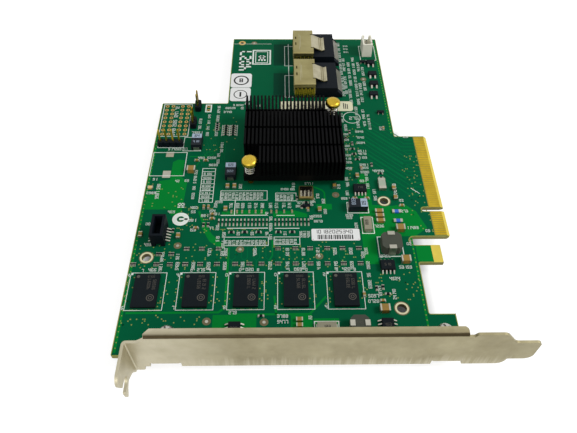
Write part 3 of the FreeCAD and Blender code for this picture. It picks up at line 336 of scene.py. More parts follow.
# painted shade: a dark brown band along the bend, where the curved sheet would mirror the dark
# ground
painted_bend_shade = on_bend * within(plate_z, fold_level, BEND_SHADE_REACH) * (1.6 - shade_breakup) * 2.6
# painted shade: a softer brown on the lip just above the bend
painted_lip_shade = along_lip * (plate_z > fold_level) * within(plate_y, PLATE_FACE, LIP_SHADE_DEPTH) * 0.75
plated = plate.blend(frost, plate.colour, FROST_AND_HIGHLIGHT)
plated = plate.blend(painted_highlight, plated, FROST_AND_HIGHLIGHT)
plated = plate.blend(painted_lip_shade, plated, shade(BEND_SHADE, 3.0))
plate.shader(Base_Color=plate.blend(painted_bend_shade, plated, BEND_SHADE))
FINISHES["bracket_steel"] = plate
print("bracket plating ready, its fold at", round(fold_level, 2), "mm")

# %% [markdown]
# ## Black anodising
# Anodised fins are aluminium under a dyed glassy skin. They look black from the front and turn
# grey at a glance, where the skin mirrors the light. Sawn fins also carry fine upright marks.

# %% Black anodised aluminium
fins = Finish("black_anodised_fins")
saw = fins.noise(0.35, detail=3.0, stretch=(2.0, 2.0, 0.15))
dust = fins.noise(1.6, detail=5.0, rough=0.7, seed=4.0)
black = fins.blend(0.7 * dust + 0.3 * saw, (0.0005, 0.0007, 0.0008), (0.004, 0.0042, 0.0045))
fins.shader(Base_Color=black, Roughness=0.36 + 0.2 * saw, Specular_IOR_Level=0.04)
FINISHES["black_aluminium"] = fins.bump(saw, 0.01)
print("anodising ready")

# %% [markdown]
# ## Moulded and fired bodies
# Connectors are nylon, chips are filled epoxy and chip capacitors are fired ceramic. All three are
# grainy at their own scale and slightly uneven in gloss, so one maker serves them: it takes the
# grain's size, how much the colour drifts, and how deep the grain feels.

# %% A maker for plastics, epoxies and ceramics
def body_finish(name, colour, roughness, grain=0.25, drift=0.18, depth=0.006, sheen=0.35):
    """An opaque body with fine grain and a slow drift of colour."""
    finish = Finish(name)
    slow = finish.noise(3.0, detail=2.0, seed=2.0)
    fine = finish.noise(grain, detail=4.0, rough=0.7)
    mix = 0.55 * slow + 0.45 * fine
    finish.shader(Base_Color=finish.blend(mix, shade(colour, 1 - drift), shade(colour, 1 + drift)),
                  Roughness=roughness + 0.18 * (fine - 0.5) + 0.1 * (slow - 0.5),
                  Specular_IOR_Level=sheen)
    return finish.bump(fine, depth)


BODIES = {
    # slot: name, colour, roughness, grain, drift, depth and sheen
    "chip_black": ("moulding_compound", (0.0070, 0.0105, 0.0130), 0.52, 0.12, 0.35, 0.004, 0.06),
    "chip_substrate": ("green_substrate", (0.01, 0.10, 0.05), 0.45, 0.3, 0.2, 0.004, 0.3),
    "pad_grey": ("silicone_pad", (0.42, 0.42, 0.45), 0.8, 0.3, 0.15, 0.01, 0.2),
    "connector_black": ("black_nylon", (0.004, 0.0065, 0.010), 0.5, 0.2, 0.3, 0.006, 0.07),
    "connector_white": ("white_nylon", (0.80, 0.78, 0.66), 0.5, 0.3, 0.08, 0.006, 0.3),
    "tantalum_black": ("black_epoxy_case", (0.008, 0.012, 0.017), 0.42, 0.2, 0.3, 0.004, 0.14),
    "polymer_grey": ("grey_epoxy_case", (0.27, 0.255, 0.180), 0.46, 0.2, 0.15, 0.005, 0.3),
    "ferrite": ("pressed_ferrite", (0.062, 0.068, 0.052), 0.62, 0.3, 0.2, 0.02, 0.15),
    "capacitor_tan": ("fired_ceramic", (0.30, 0.185, 0.040), 0.42, 0.2, 0.2, 0.004, 0.25),
    "fuse_body": ("fuse_ceramic", (0.36, 0.42, 0.33), 0.45, 0.2, 0.1, 0.004, 0.3),
    "thermistor_blue": ("blue_glaze", (0.020, 0.120, 0.52), 0.3, 0.25, 0.2, 0.003, 0.4),
    "led_resin": ("amber_resin", (0.72, 0.50, 0.20), 0.3, 0.3, 0.2, 0.003, 0.4),
    "label_white": ("white_film", (0.80, 0.81, 0.80), 0.55, 0.5, 0.05, 0.004, 0.2),
    "label_cream": ("cream_film", (0.74, 0.72, 0.50), 0.55, 0.5, 0.05, 0.004, 0.2),
}
for slot, (name, *look) in BODIES.items():
    FINISHES[slot] = body_finish(name, *look)
ink_white = body_finish("white_print", (0.78, 0.86, 0.78), 0.6, 0.15, 0.22, 0.004, 0.1)
ink_grey = body_finish("laser_mark", (0.105, 0.098, 0.082), 0.6, 0.12, 0.3, 0.003, 0.1)
ink_dark = body_finish("label_ink", (0.02, 0.02, 0.02), 0.6, 0.15, 0.2, 0.002, 0.1)
for part in frame["record"]["subparts"]:
    surface = nodes[part["node"]].data
    surface.materials.clear()
    surface.materials.append(FINISHES[part["material_slot"]].material)

# %% [markdown]
# ## Camera
# The camera stands about as far from the card as the card is long, low over the bracket, so near
# parts look clearly larger than far ones. A Track To constraint could aim it. Its three angles are
# given instead, because the view also leans by about a degree, which a constraint leaves out.

# %% Camera
EYE = Vector((-60.0, -130.0, 152.8)) * MM
YAW, PITCH, ROLL = 0.0296, 0.8887, 0.0189
LENS, SENSOR = 34.15, 36.0
SHIFT_X, SHIFT_Y = -0.0045, 0.01005
ahead = Vector((math.sin(YAW) * math.cos(PITCH), math.cos(YAW) * math.cos(PITCH),
                -math.sin(PITCH)))
level = Vector((math.cos(YAW), -math.sin(YAW), 0.0))
raised = level.cross(ahead)
across = level * math.cos(ROLL) + raised * math.sin(ROLL)
upward = raised * math.cos(ROLL) - level * math.sin(ROLL)
camera = bpy.data.objects.new("camera", bpy.data.cameras.new("camera"))
camera.data.lens = LENS
camera.data.sensor_width = SENSOR
camera.data.shift_x = SHIFT_X
camera.data.shift_y = SHIFT_Y
camera.data.clip_start = 0.005
turn = Matrix((across, upward, -ahead)).transposed()
camera.matrix_world = Matrix.Translation(EYE) @ turn.to_4x4()
link(camera)
bpy.context.scene.camera = camera
print("camera looks", round(math.degrees(PITCH), 1), "degrees down")

# %% [markdown]
# ## Floor
# The card lies on bright paper. Lamps alone would leave the paper grey far off, so it glows, but
# only for rays that come straight from the camera: the glow lights nothing, and the card's own
# shadow still falls on it. Through the holes of the board one would see the dark gap beneath, so
# inside a rectangle that the card covers the glow's colour is turned near black: a painted shadow
# under the card.

# %% Floor
FLOOR_DROP, FLOOR_HALF = 0.3 * MM, 3.0
COVERED = (("X", -112.0, -8.0), ("Y", -56.0, 50.0))
SOFTEN = 8.0
WHITE, PAPER, PAINTED_SHADOW_UNDER_CARD = (1.0, 1.0, 1.0), (0.42, 0.42, 0.42), (0.05, 0.05, 0.05)
GLOW = 0.78
floor_mesh = bpy.data.meshes.new("floor")
floor_mesh.from_pydata([(x * FLOOR_HALF, y * FLOOR_HALF, solid_low.z - FLOOR_DROP)
                        for x, y in ((-1, -1), (1, -1), (1, 1), (-1, 1))], [], [(0, 1, 2, 3)])
floor = bpy.data.objects.new("floor", floor_mesh)
link(floor)
paper = Finish("pale_floor")


def seen_directly(tree):
    """1 for rays from the camera, or by way of a mirror or glass, and 0 for the rest."""
    rays = [tree.node("ShaderNodeLightPath", {}, {}, name)
            for name in ("Is Camera Ray", "Is Glossy Ray", "Is Transmission Ray")]
    return tree.node("ShaderNodeMath", {"operation": "ADD", "use_clamp": True},
                     {0: rays[0] + rays[1], 1: rays[2]})


card_x, card_y = (
    within(paper.node("ShaderNodeSeparateXYZ", {}, {0: paper.place}, axis),
           (start + stop) / 2, (stop - start) / 2)
    for axis, start, stop in COVERED)
# painted shadow: the glow's colour turns near black inside the rectangle under the card
shade_below = paper.node("ShaderNodeMath", {"operation": "MINIMUM"},
                         {0: SOFTEN * card_x, 1: SOFTEN * card_y})
paper.shader(Base_Color=PAPER, Roughness=1.0, Specular_IOR_Level=0.0,
             Emission_Color=paper.blend(shade_below, WHITE, PAINTED_SHADOW_UNDER_CARD),
             Emission_Strength=GLOW * seen_directly(paper))
floor_mesh.materials.append(paper.material)
print("floor at", round(solid_low.z / MM, 1), "mm")

# %% [markdown]
# ## Lamps and surround
# A wide soft lamp on the right and behind gives the metal its bright side, and a weaker warm one
# in front lifts the bracket. An even pale surround fills the rest. It is full white where it is
# seen or mirrored and weaker as a light, so that the shadows between small parts keep their depth.

# %% Lamps and surround
FILL = 0.52


def lamp(name, place, size, watts, colour=WHITE):
    """A square soft lamp at a place in metres that faces the middle of the card."""
    made = bpy.data.objects.new(name, bpy.data.lights.new(name, "AREA"))
    made.data.size = size
    made.data.energy = watts
    made.data.color = colour
    target = (solid_low + solid_high) / 2
    facing = (target - Vector(place)).to_track_quat("-Z", "Y")
    made.matrix_world = Matrix.Translation(place) @ facing.to_matrix().to_4x4()
    link(made)


lamp("key_lamp", (0.52, -0.03, 0.52), 0.26, 3.0)
lamp("front_lamp", (-0.22, -0.62, 0.34), 0.40, 1.0, (1.0, 0.98, 0.94))
world = bpy.data.worlds.new("surround")
bpy.context.scene.world = world
world.use_nodes = True
surround = Tree(world.node_tree)
strength = surround.node("ShaderNodeMapRange", {},
                         {"Value": seen_directly(surround), "To Min": FILL})
background = surround.tree.nodes["Background"]
surround.put(background.inputs["Strength"], strength)
surround.put(background.inputs["Color"], WHITE)
bpy.context.scene.view_settings.view_transform = "Standard"
print("lamps ready, fill", FILL)

# %% [markdown]
# ## A bench for thin and small things
# Print, pads, tracks and chip resistors are hundreds of little prisms. Adding each one as its own
# object would be slow and clumsy, so a `Bench` gathers them in one bmesh, in millimetres, and turns
# the lot into one piece that rides on the card. Every prism is closed, and its underside is sunk a
# hair into the board so that no two faces share a plane.

# %% Measures of the board and its thin layers
def span(node):
    """A solid's x0, x1, y0, y1, z0 and z1 in millimetres."""
    low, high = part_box(node)
    return [v / MM for v in (low.x, high.x, low.y, high.y, low.z, high.z)]


BOARD_X0, BOARD_X1, BOARD_Y0, BOARD_Y1, SOLDER_FACE, COMPONENT_FACE = span("circuit_board")
SUNK = 0.01
TRACK_TOP, PRINT_TOP = 0.024, 0.044


def thin(top, side=1):
    """Heights of a thin layer on the component face, or on the solder face for side -1."""
    if side > 0:
        return -SUNK, top
    return SOLDER_FACE - top, SOLDER_FACE + SUNK


POUR, STRIP, TRACK, PAD, PRINT = (
    thin(top) for top in (0.018, 0.020, TRACK_TOP, 0.034, PRINT_TOP))
print("board from", round(BOARD_X0, 2), "to", round(BOARD_X1, 2), "mm")

# %% The bench
class Bench:
    """Gathers prisms in millimetres and turns them into one piece of the card."""

    def __init__(self):
        self.mesh = bmesh.new()

    def prism(self, points, low, high):
        """An upright prism on a plan outline."""
        bottom = [self.mesh.verts.new((x, y, low)) for x, y in points]
        top = [self.mesh.verts.new((x, y, high)) for x, y in points]
        self.mesh.faces.new(bottom)
        self.mesh.faces.new(top)
        for i in range(len(points)):
            self.mesh.faces.new((bottom[i - 1], bottom[i], top[i], top[i - 1]))

    def bar(self, x0, x1, y0, y1, low, high):
        """A box between two X and two Y, each pair in either order."""
        x0, x1 = sorted((x0, x1))
        y0, y1 = sorted((y0, y1))
        self.prism([(x0, y0), (x1, y0), (x1, y1), (x0, y1)], low, high)

    def frame(self, x0, x1, y0, y1, line):
        """A printed rectangle drawn with a line of some width."""
        self.bar(x0, x1, y0, y0 + line, *PRINT)
        self.bar(x0, x1, y1 - line, y1, *PRINT)
        self.bar(x0, x0 + line, y0 + line, y1 - line, *PRINT)
        self.bar(x1 - line, x1, y0 + line, y1 - line, *PRINT)

    def disc(self, x, y, radius, low, high, sides):
        turn = 2 * math.pi / sides
        self.prism([(x + radius * math.cos(i * turn), y + radius * math.sin(i * turn))
                    for i in range(sides)], low, high)

    def ring(self, x, y, outer, inner, low, high, sides):
        """A flat washer shape."""
        turn = 2 * math.pi / sides
        loops = []
        for radius, z in ((outer, low), (outer, high), (inner, high), (inner, low)):
            loops.append([self.mesh.verts.new((x + radius * math.cos(i * turn),
                                               y + radius * math.sin(i * turn), z))
                          for i in range(sides)])
        for k in range(4):
            here, there = loops[k], loops[(k + 1) % 4]
            for i in range(sides):
                self.mesh.faces.new((here[i - 1], here[i], there[i], there[i - 1]))

    def ribbon(self, points, width, low, high):
        """A strip of even width along a bent line, with mitred corners."""
        path = [Vector(p) for p in points]
        left, right = [], []
        for i, here in enumerate(path):
            before = (here - path[i - 1]).normalized() if i else None
            after = (path[i + 1] - here).normalized() if i + 1 < len(path) else None
            first, second = before or after, after or before
            mitre = Vector((-first.y - second.y, first.x + second.x)).normalized()
            reach = width / 2 / max(0.4, mitre.dot(Vector((-first.y, first.x))))
            left.append(here + mitre * reach)
            right.append(here - mitre * reach)
        for i in range(len(path) - 1):
            self.prism([left[i], right[i], right[i + 1], left[i + 1]], low, high)

    def piece(self, name, finish, bevel=0.0, smooth=False):
        """Closes the bench: one object that rides on the card and takes a finish."""
        bmesh.ops.recalc_face_normals(self.mesh, faces=self.mesh.faces)
        bmesh.ops.scale(self.mesh, vec=(MM, MM, MM), verts=self.mesh.verts)
        data = bpy.data.meshes.new(name)
        self.mesh.to_mesh(data)
        self.mesh.free()
        made = bpy.data.objects.new(name, data)
        if bevel:
            edge = made.modifiers.new("edge", "BEVEL")
            edge.width = bevel * MM
            edge.segments = 2
        settle(made, finish, smooth)
        return made


def settle(made, finish, smooth):
    """Gives an object its finish and lets it ride on the card."""
    link(made)
    made.data.materials.clear()
    made.data.materials.append(finish.material)
    for polygon in made.data.polygons:
        polygon.use_smooth = smooth
    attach(made, "root")
    print("made", made.name, "with", len(made.data.polygons), "faces")


print("the bench makes prisms, rings and ribbons")

# %% [markdown]
# ## Copper under the mask
# Wide pours carry power to the regulators and look bright through the mask. Thin tracks fan out
# from the controller to the contacts, the memory and the connectors. Both stand a few hundredths
# of a millimetre proud, so they are drawn as very thin prisms with the same mask over them.

# %% Pours
pours = Bench()
POUR_OUTLINES = [
    [(-109.8, 0.3), (-101.2, 0.3), (-99.8, -2.6), (-96.2, -2.6), (-95.6, 14.4), (-97.8, 16.2),
     (-97.8, 25.8), (-100.4, 26.2), (-102.3, 24.8), (-102.3, 15.4), (-106.2, 14.6),
     (-107.0, 8.0), (-109.8, 7.4)],
    [(-31.4, -24.4), (-26.8, -24.4), (-26.8, -13.0), (-12.4, -12.4), (-7.6, -8.8),
     (-10.4, -1.0), (-14.4, 2.6), (-19.0, 1.6), (-26.2, 2.2), (-26.2, 16.6), (-28.4, 18.4),
     (-30.2, 16.4), (-31.4, 4.0)],
    [(-13.2, -23.4), (-7.9, -23.4), (-7.9, -16.8), (-13.2, -16.8)],
    [(-81.6, -50.4), (-67.8, -50.4), (-67.8, -43.5), (-81.6, -43.5)],
    [(-57.0, -50.4), (-50.2, -50.4), (-50.2, -43.4), (-57.0, -43.4)],
    [(-49.8, -52.0), (-41.8, -52.0), (-41.8, -45.0), (-49.8, -45.0)],
    [(-46.8, 0.0), (-41.2, 0.0), (-41.2, 2.7), (-46.8, 2.7)],
    [(-81.5, -2.5), (-65.4, -2.5), (-65.4, 0.2), (-81.5, -0.6)],
    [(-62.8, -3.4), (-50.4, -3.6), (-50.4, -2.0), (-54.8, -0.4), (-62.8, -0.8)],
    [(-85.0, -14.4), (-80.2, -18.0), (-79.0, -16.6), (-84.4, -11.2), (-87.4, -5.0), (-88.2, -8.4)],
]
FENCE_X = (-14.4, -13.7)
EDGE_STRIPS = [(BOARD_X0 + 0.55, BOARD_X0 + 1.3, BOARD_Y0 + 1, 38.5),
               (*FENCE_X, BOARD_Y0 + 1, -13.2), (*FENCE_X, 41.0, BOARD_Y1 - 1)]
for corners in POUR_OUTLINES:
    pours.prism(corners, *POUR)
for edges in EDGE_STRIPS:
    pours.bar(*edges, *POUR)
STRIPS = [
    ([(-78.0, -17.0), (-78.0, -41.0), (-80.0, -42.6), (-109.2, -42.6)], 0.75),
    ([(-77.2, -41.6), (-75.4, -43.4), (-51.0, -43.4), (-45.4, -37.0)], 0.75),
    ([(-61.6, -43.4), (-62.2, -36.6)], 0.75),
    ([(-89.8, -0.6), (-86.6, -9.6), (-82.2, -14.0)], 0.85),
    ([(-48.6, 12.0), (-44.4, 9.6), (-43.6, 8.4), (-43.6, 2.0)], 0.6),
    ([(-63.0, -14.0), (-63.0, -20.6), (-63.8, -22.2), (-63.8, -26.6)], 0.5),
    ([(-96.0, 27.8), (-88.0, 28.2), (-86.0, 30.4)], 0.4),
    ([(-94.0, 20.0), (-92.2, 24.6), (-89.4, 30.2), (-86.8, 31.0)], 0.3),
]
for path, width in STRIPS:
    pours.ribbon(path, width, *STRIP)
pours.piece("copper_pours", pour_mask)

# %% Tracks
tracks = Bench()
FINE = 0.2


def track(*points):
    """A fine track on the component face."""
    tracks.ribbon(points, FINE, *TRACK)


for i in range(16):
    bend, drop = -9.0 - 0.9 * (i % 4), 15.0 + 0.35 * i
    for lane in (0.0, 0.42):
        y = 37.0 - 2.0 * i + lane
        track((-5.3, y), (bend, y), (bend - drop, y + drop), (bend - drop - 5, y + drop))
for i in range(15):
    x = -91.0 + 0.62 * i
    track((x, 22.5 + 0.25 * i), (x, 50.0 - 0.3 * i), (x + 3.2, 53.2 - 0.3 * i))
for i in range(13):
    x, rise = -73.0 + 2.85 * i, 0.5 * (i % 3)
    track((x, 52.0), (x, 58.0 + rise), (x + 2.0, 60.6 + rise), (x + 2.0, 64.0))
for i in range(22):
    x, step = -82.0 + 2.1 * i, 0.9 * (-1) ** i
    track((x, -16.9), (x, -21.5), (x + step, -22.4), (x + step, -26.4))
for i in range(9):
    x, y = -60.5 - 0.5 * i, 62.4 + 0.55 * i
    track((x, y), (x - 4.5 - 0.6 * i, y + 3.0 - 1.1 * i))
tracks.piece("copper_tracks", track_mask)

# %% Painted shadows beside the cable mouths
cage_shadow_fields = Bench()
CAGES = [span("sas_shell_1"), span("sas_shell_2")]
# painted shadow of each cage: a darker mask field about nine millimetres wide on its left
for x0, _, y0, y1, _, _ in CAGES:
    cage_shadow_fields.bar(x0 - 9.2, x0 - 0.2, y0 + 0.4, y1 - 1.0, *POUR)
cage_shadow_fields.piece("painted_cage_shadows", cage_shadow_mask)

# %% [markdown]
# ## Bare rim and bare strips
# A router cuts the board out of a panel after the mask is on, and the mask stays back from that
# cut, so a narrow straw-coloured rim shows all round. The outline isn't retyped here: it is read
# off the solid, as the edges between its flat face and its upright sides. Holes have such edges
# too, and they are told apart by their size.

# %% The rim, read off the solid
RIM, RIM_TOP = 0.26, 0.008
HOOK_STRIP, HOOK_STRIP_TOP = (-7.8, -4.55, -23.75, -16.45), 0.012
SHORTEST = 0.02


def rim_edges(height):
    """Directed edges round the flat face at a height, with the face on their left."""
    data = nodes["circuit_board"].data
    points = [v.co / MM for v in data.vertices]
    seen = {}
    for polygon in data.polygons:
        corners = [tuple(round(c, 3) for c in points[i]) for i in polygon.vertices]
        if all(abs(c[2] - height) < 0.01 for c in corners):
            for a, b in zip(corners, corners[1:] + corners[:1]):
                seen[(a[:2], b[:2])] = seen.get((a[:2], b[:2]), 0) + 1
    return [edge for edge in seen if edge[::-1] not in seen]


def outer_loop(edges):
    """The longest chain of edges, which is the board's outline."""
    following = dict(edges)
    best = []
    while following:
        start = next(iter(following))
        chain = [start]
        while chain[-1] in following:
            chain.append(following.pop(chain[-1]))
        if len(chain) > len(best):
            best = chain
    return best


rim = Bench()
hook_strip = Bench()
outline = outer_loop(rim_edges(COMPONENT_FACE))
for a, b in zip(outline, outline[1:]):
    along = Vector(b) - Vector(a)
    if along.length < SHORTEST:
        continue
    inward = Vector((-along.y, along.x)).normalized() * RIM
    corners = [Vector(a), Vector(b), Vector(b) + inward, Vector(a) + inward]
    for side in (1, -1):
        rim.prism(corners, *thin(RIM_TOP, side))
for side in (1, -1):
    hook_strip.bar(*HOOK_STRIP, *thin(HOOK_STRIP_TOP, side))
bare_cloth = body_finish("bare_cloth", (0.72, 0.57, 0.085), 0.6, 0.25, 0.2, 0.01, 0.2)
rim_cloth = body_finish("shaded_rim", (0.34, 0.36, 0.075), 0.6, 0.25, 0.2, 0.01, 0.2)
hook_strip.piece("bare_hook_strip", bare_cloth)
rim.piece("bare_rim", rim_cloth)

# %% [markdown]
# ## Vias, pads and plated holes
# A via is a plated hole a third of a millimetre wide, and under the mask its cap shows as a small
# tan dot. Hundreds of them crowd round the memory and the resistors. They are scattered by a seeded
# random draw inside the areas where a layout would have them, so every run gives the same card.

# %% Vias
draw = random.Random(31)
vias = Bench()
VIA, GRID = 0.24, 0.65
MEMORY = [span(f"memory_chip_{i + 1}") for i in range(5)]
FIELDS = [(150, -110.0, -31.0, -26.5, -15.2), (46, -97.0, -83.5, -10.5, 1.5),
          (26, -88.0, -66.0, -9.6, -8.8), (60, -12.5, -5.6, -10.5, 28.0),
          (40, -34.5, -28.0, 14.0, 46.0), (34, -29.0, -14.5, -40.0, -28.0),
          (18, -108.5, -96.5, 1.0, 14.0), (24, -110.0, -86.0, -47.0, -43.4),
          (30, -94.0, -78.0, 30.0, 52.0)]
FENCES = [(BOARD_X0 + 0.95, BOARD_Y0 + 2.5, 50), (-14.05, BOARD_Y0 + 2.0, 23), (-14.05, 42.0, 36)]


def scatter(bench, grid, heights, count, x0, x1, y0, y1):
    """Vias on a coarse grid inside a rectangle, as a layout tool would drop them."""
    for _ in range(count):
        x = round(draw.uniform(x0, x1) / grid) * grid
        y = round(draw.uniform(y0, y1) / grid) * grid
        bench.disc(x, y, VIA, *heights, 8)


for x0, x1, y0, y1, _, _ in MEMORY:
    scatter(vias, GRID, PAD, 15, x1 + 0.5, x1 + 3.4, y0 + 0.5, y1 - 0.5)
    scatter(vias, GRID, PAD, 9, x0 - 3.0, x0 - 0.5, y0 + 0.5, y1 - 0.5)
    scatter(vias, GRID, PAD, 10, x0 - 1, x1 + 1, y0 - 0.6, y0 - 0.4)
for field in FIELDS:
    scatter(vias, GRID, PAD, *field)
for x, first, count in FENCES:
    for k in range(count):
        vias.disc(x, first + 1.85 * k, 0.2, *PAD, 8)
via_tan = body_finish("tented_via", (0.26, 0.31, 0.075), 0.5, 0.2, 0.3, 0.004, 0.25)
vias.piece("via_caps", via_tan)

# %% Rings round the drilled holes
rings = Bench()
BORES = [(mount["pos_m"][0] / MM, mount["pos_m"][1] / MM, mount["dims"]["r_mm"])
         for mount in frame["record"]["mounts"] if mount["kind"] == "bore"]
for x, y, hole in BORES:
    for side in (1, -1):
        rings.ring(x, y, hole + 0.62, hole + 0.02, *thin(PRINT_TOP, side), 40)
cream_ring = body_finish("bare_ring", (0.74, 0.68, 0.44), 0.5, 0.3, 0.12, 0.004, 0.25)
rings.piece("hole_rings", cream_ring)

# %% Test points, brown halos and painted shade on the bore walls
pads = Bench()
halos_and_bore_shade = Bench()
TEST_POINTS = [(-74.1, -17.9), (-46.9, -21.0), (-39.4, 7.2), (-83.4, -45.8), (-65.4, -46.2),
               (-95.8, -16.2), (-72.6, 107.0), (-22.0, 78.2)]
for x, y, hole in BORES:
    halos_and_bore_shade.ring(x, y, hole + 0.92, hole + 0.64, *STRIP, 40)
    # painted shade: a thin brown tube over each bore wall, which is tan laminate darkened only by
    # shade
    halos_and_bore_shade.ring(x, y, hole + 0.002, hole - 0.03, SOLDER_FACE, COMPONENT_FACE, 40)
for x, y in TEST_POINTS:
    halos_and_bore_shade.disc(x, y, 1.35, *STRIP, 28)
    pads.disc(x, y, 0.52, *PAD, 18)
halo_and_bore_shade_brown = body_finish("thin_mask_halo_and_bore_shade", (0.16, 0.135, 0.07), 0.5, 0.3, 0.2, 0.004, 0.2)
halos_and_bore_shade.piece("halos_and_painted_bore_shade", halo_and_bore_shade_brown)

# %% Plated holes with nothing in them, painted shade inside them, and two bare pads
sockets = Bench()
hole_shadows = Bench()
GRID_X, INCH_TENTH, HOLE_SHADOW_TOP = (-108.75, -106.2, -102.15, -99.6), 2.54, 0.01
EMPTY_HOLES = [(x, 58.9 - INCH_TENTH * row, 0.78, 0.40, 0.42, 16, 14)
               for row in range(8) for x in GRID_X]
EMPTY_HOLES += [(-90.95, y, 0.72, 0.38, 0.40, 16, 14) for y in (58.7, 56.2)]
EMPTY_HOLES += [(-78.5, 107.0, 1.7, 0.75, 0.78, 28, 20)]
for x, y, outer, inner, shade_radius, sides, shade_sides in EMPTY_HOLES:
    sockets.ring(x, y, outer, inner, *PAD, sides)
    # painted shade: a dark disc fills each empty hole, whose darkness is only shade
    hole_shadows.disc(x, y, shade_radius, -SUNK, HOLE_SHADOW_TOP, shade_sides)
copper_tan = metal_finish("aged_plating", (0.52, 0.36, 0.12), 0.5, size=0.4, cloud=0.3)
sockets.piece("plated_rings", copper_tan)
hole_shade_paint = body_finish("hole_shade", (0.02, 0.018, 0.008), 0.7, 0.2, 0.3, 0.004, 0.1)
hole_shadows.piece("painted_hole_shadows", hole_shade_paint)
for y0, y1 in ((27.7, 30.6), (16.3, 20.0)):
    pads.bar(-105.5, -102.5, y0, y1, *PAD)
print("pads so far", len(pads.mesh.faces))

# %% [markdown]
# ## The smallest chip parts
# Resistors, arrays and small capacitors are a dark or tan body between two tinned ends, each on
# two pads. Four benches share the work, for the dark bodies, the tan ones, the ends and the pads,
# so that hundreds of parts become four pieces.

# %% Chip resistors, arrays and small capacitors
black_chips = Bench()
tan_chips = Bench()
ends = Bench()


def turned_bar(bench, place, x0, x1, y0, y1, low, high, upright):
    """A bar given about a place, turned a quarter when upright."""
    x, y = place
    if upright:
        x0, x1, y0, y1 = y0, y1, x0, x1
    bench.bar(x + x0, x + x1, y + y0, y + y1, low, high)


def chip(place, length, width, height, upright=False, bodies=black_chips, cap=0.28, pad=0.25):
    """A two-ended chip part on its pads, lying along X, or along Y when upright."""
    half, side = length / 2, width / 2
    turned_bar(bodies, place, -half + cap, half - cap, -side + 0.02, side - 0.02, 0.02,
               height - 0.02, upright)
    for end in (-1, 1):
        turned_bar(ends, place, end * (half - cap), end * half, -side, side, 0.01, height, upright)
        turned_bar(pads, place, end * (half - 0.1), end * (half + pad), -side - 0.04, side + 0.04,
                   *PAD, upright)
        turned_bar(ends, place, end * half, end * (half + pad * 0.7), -side + 0.05, side - 0.05,
                   0.0, height * 0.35, upright)


def array(x, y):
    """Four resistors in one body, with four ends on each long side."""
    black_chips.bar(x - 1.0, x + 1.0, y - 0.32, y + 0.32, 0.02, 0.38)
    for k in range(4):
        middle = x - 0.75 + 0.5 * k
        for side in (-1, 1):
            ends.bar(middle - 0.15, middle + 0.15, y + side * 0.24, y + side * 0.54, 0.01, 0.39)
            pads.bar(middle - 0.16, middle + 0.13, y + side * 0.5, y + side * 0.82, *PAD)


ARRAY_ROWS = {
    -17.6: (-92.5, -87.3, -81.5, -61.0, -55.0, -49.9, -44.0, -38.7, -33.0),
    -24.0: (-109.8, -102.0, -97.5, -92.3, -87.3, -81.6, -75.5, -70.7, -66.6, -61.0, -55.0, -50.0,
            -44.2, -38.7, -33.0),
    -19.8: (-101.8, -97.5),
}
for y, row in ARRAY_ROWS.items():
    for x in row:
        array(x, y)
for first, count in ((-82.3, 14), (-62.0, 10)):
    for k in range(count):
        chip((first + 1.33 * k, -5.9), 1.5, 0.46, 0.36, upright=True, pad=0.95)
for x in (-78.0, -76.0, -74.1, -71.5, -69.2, -67.0, -63.5, -61.6, -58.8, -55.9):
    chip((x, -0.9), 1.2, 0.62, 0.42, upright=True, bodies=tan_chips, cap=0.3, pad=0.2)
for x in (-77.5, -72.8, -67.9, -60.9, -56.0):
    chip((x, -10.5), 1.7, 0.9, 0.5)
SMALL_TAN = [((-15.3, 1.7), False), ((-32.4, 5.3), False), ((-27.9, 5.3), False),
             ((-28.4, 21.2), True), ((-17.0, 44.4), True), ((-93.0, 25.5), False),
             ((-89.5, 25.5), False), ((-86.5, 1.3), True), ((-88.2, 1.3), True),
             ((-84.8, -2.2), False), ((-84.8, -4.2), False), ((-90.2, -8.5), False),
             ((-33.0, -36.4), True), ((-27.2, -38.8), False), ((-50.0, 0.2), True)]
for place, upright in SMALL_TAN:
    chip(place, 1.6, 0.85, 0.7, upright, bodies=tan_chips, cap=0.35)
SMALL_BLACK = [((-29.5, 26.0), False), ((-30.6, 29.0), False), ((-31.0, 32.0), False),
               ((-30.8, 35.2), True), ((-33.2, 38.3), True), ((-31.3, 42.2), True),
               ((-50.6, 3.4), False), ((-52.3, 1.4), True), ((-26.5, -33.6), True),
               ((-25.2, -36.2), False), ((-28.6, -34.0), True), ((-99.5, -9.6), True),
               ((-98.2, -9.6), True), ((-86.0, -7.0), True), ((-87.6, -7.0), True),
               ((-21.3, 18.2), False), ((-21.3, 15.9), False), ((-24.2, 23.0), True),
               ((-94.5, 40.6), False), ((-54.0, 5.6), True), ((-66.4, -44.0), False)]
for place, upright in SMALL_BLACK:
    chip(place, 1.55, 0.8, 0.45, upright)
for row in range(5):
    for x in (-82.6, -79.6):
        chip((x, 40.6 + 1.35 * row), 1.5, 0.6, 0.45, pad=0.5)
for row in range(4):
    chip((-86.4, 43.6 + 1.3 * row), 1.4, 0.6, 0.45)


def small_transistor(x, y, flip=1):
    """A three-legged package: two legs one side and one on the other."""
    black_chips.bar(x - 1.45, x + 1.45, y - 0.65, y + 0.65, 0.1, 1.0)
    for along, side in ((-0.95, -flip), (0.95, -flip), (0.0, flip)):
        left, right = x + along - 0.2, x + along + 0.2
        ends.bar(left, right, y + side * 0.6, y + side * 1.25, 0.0, 0.16)
        ends.bar(left, right, y + side * 0.62, y + side * 0.78, 0.1, 0.62)


small_transistor(-17.0, 54.5)
small_transistor(-21.1, 91.0)
small_transistor(-50.6, 1.4, -1)
black_chips.piece("chip_resistor_bodies", FINISHES["chip_black"], bevel=0.03)
tan_chips.piece("small_capacitor_bodies", FINISHES["capacitor_tan"], bevel=0.04)
ends.piece("chip_part_ends", FINISHES["tin"], bevel=0.04)
pads.piece("tinned_pads", FINISHES["tin"])

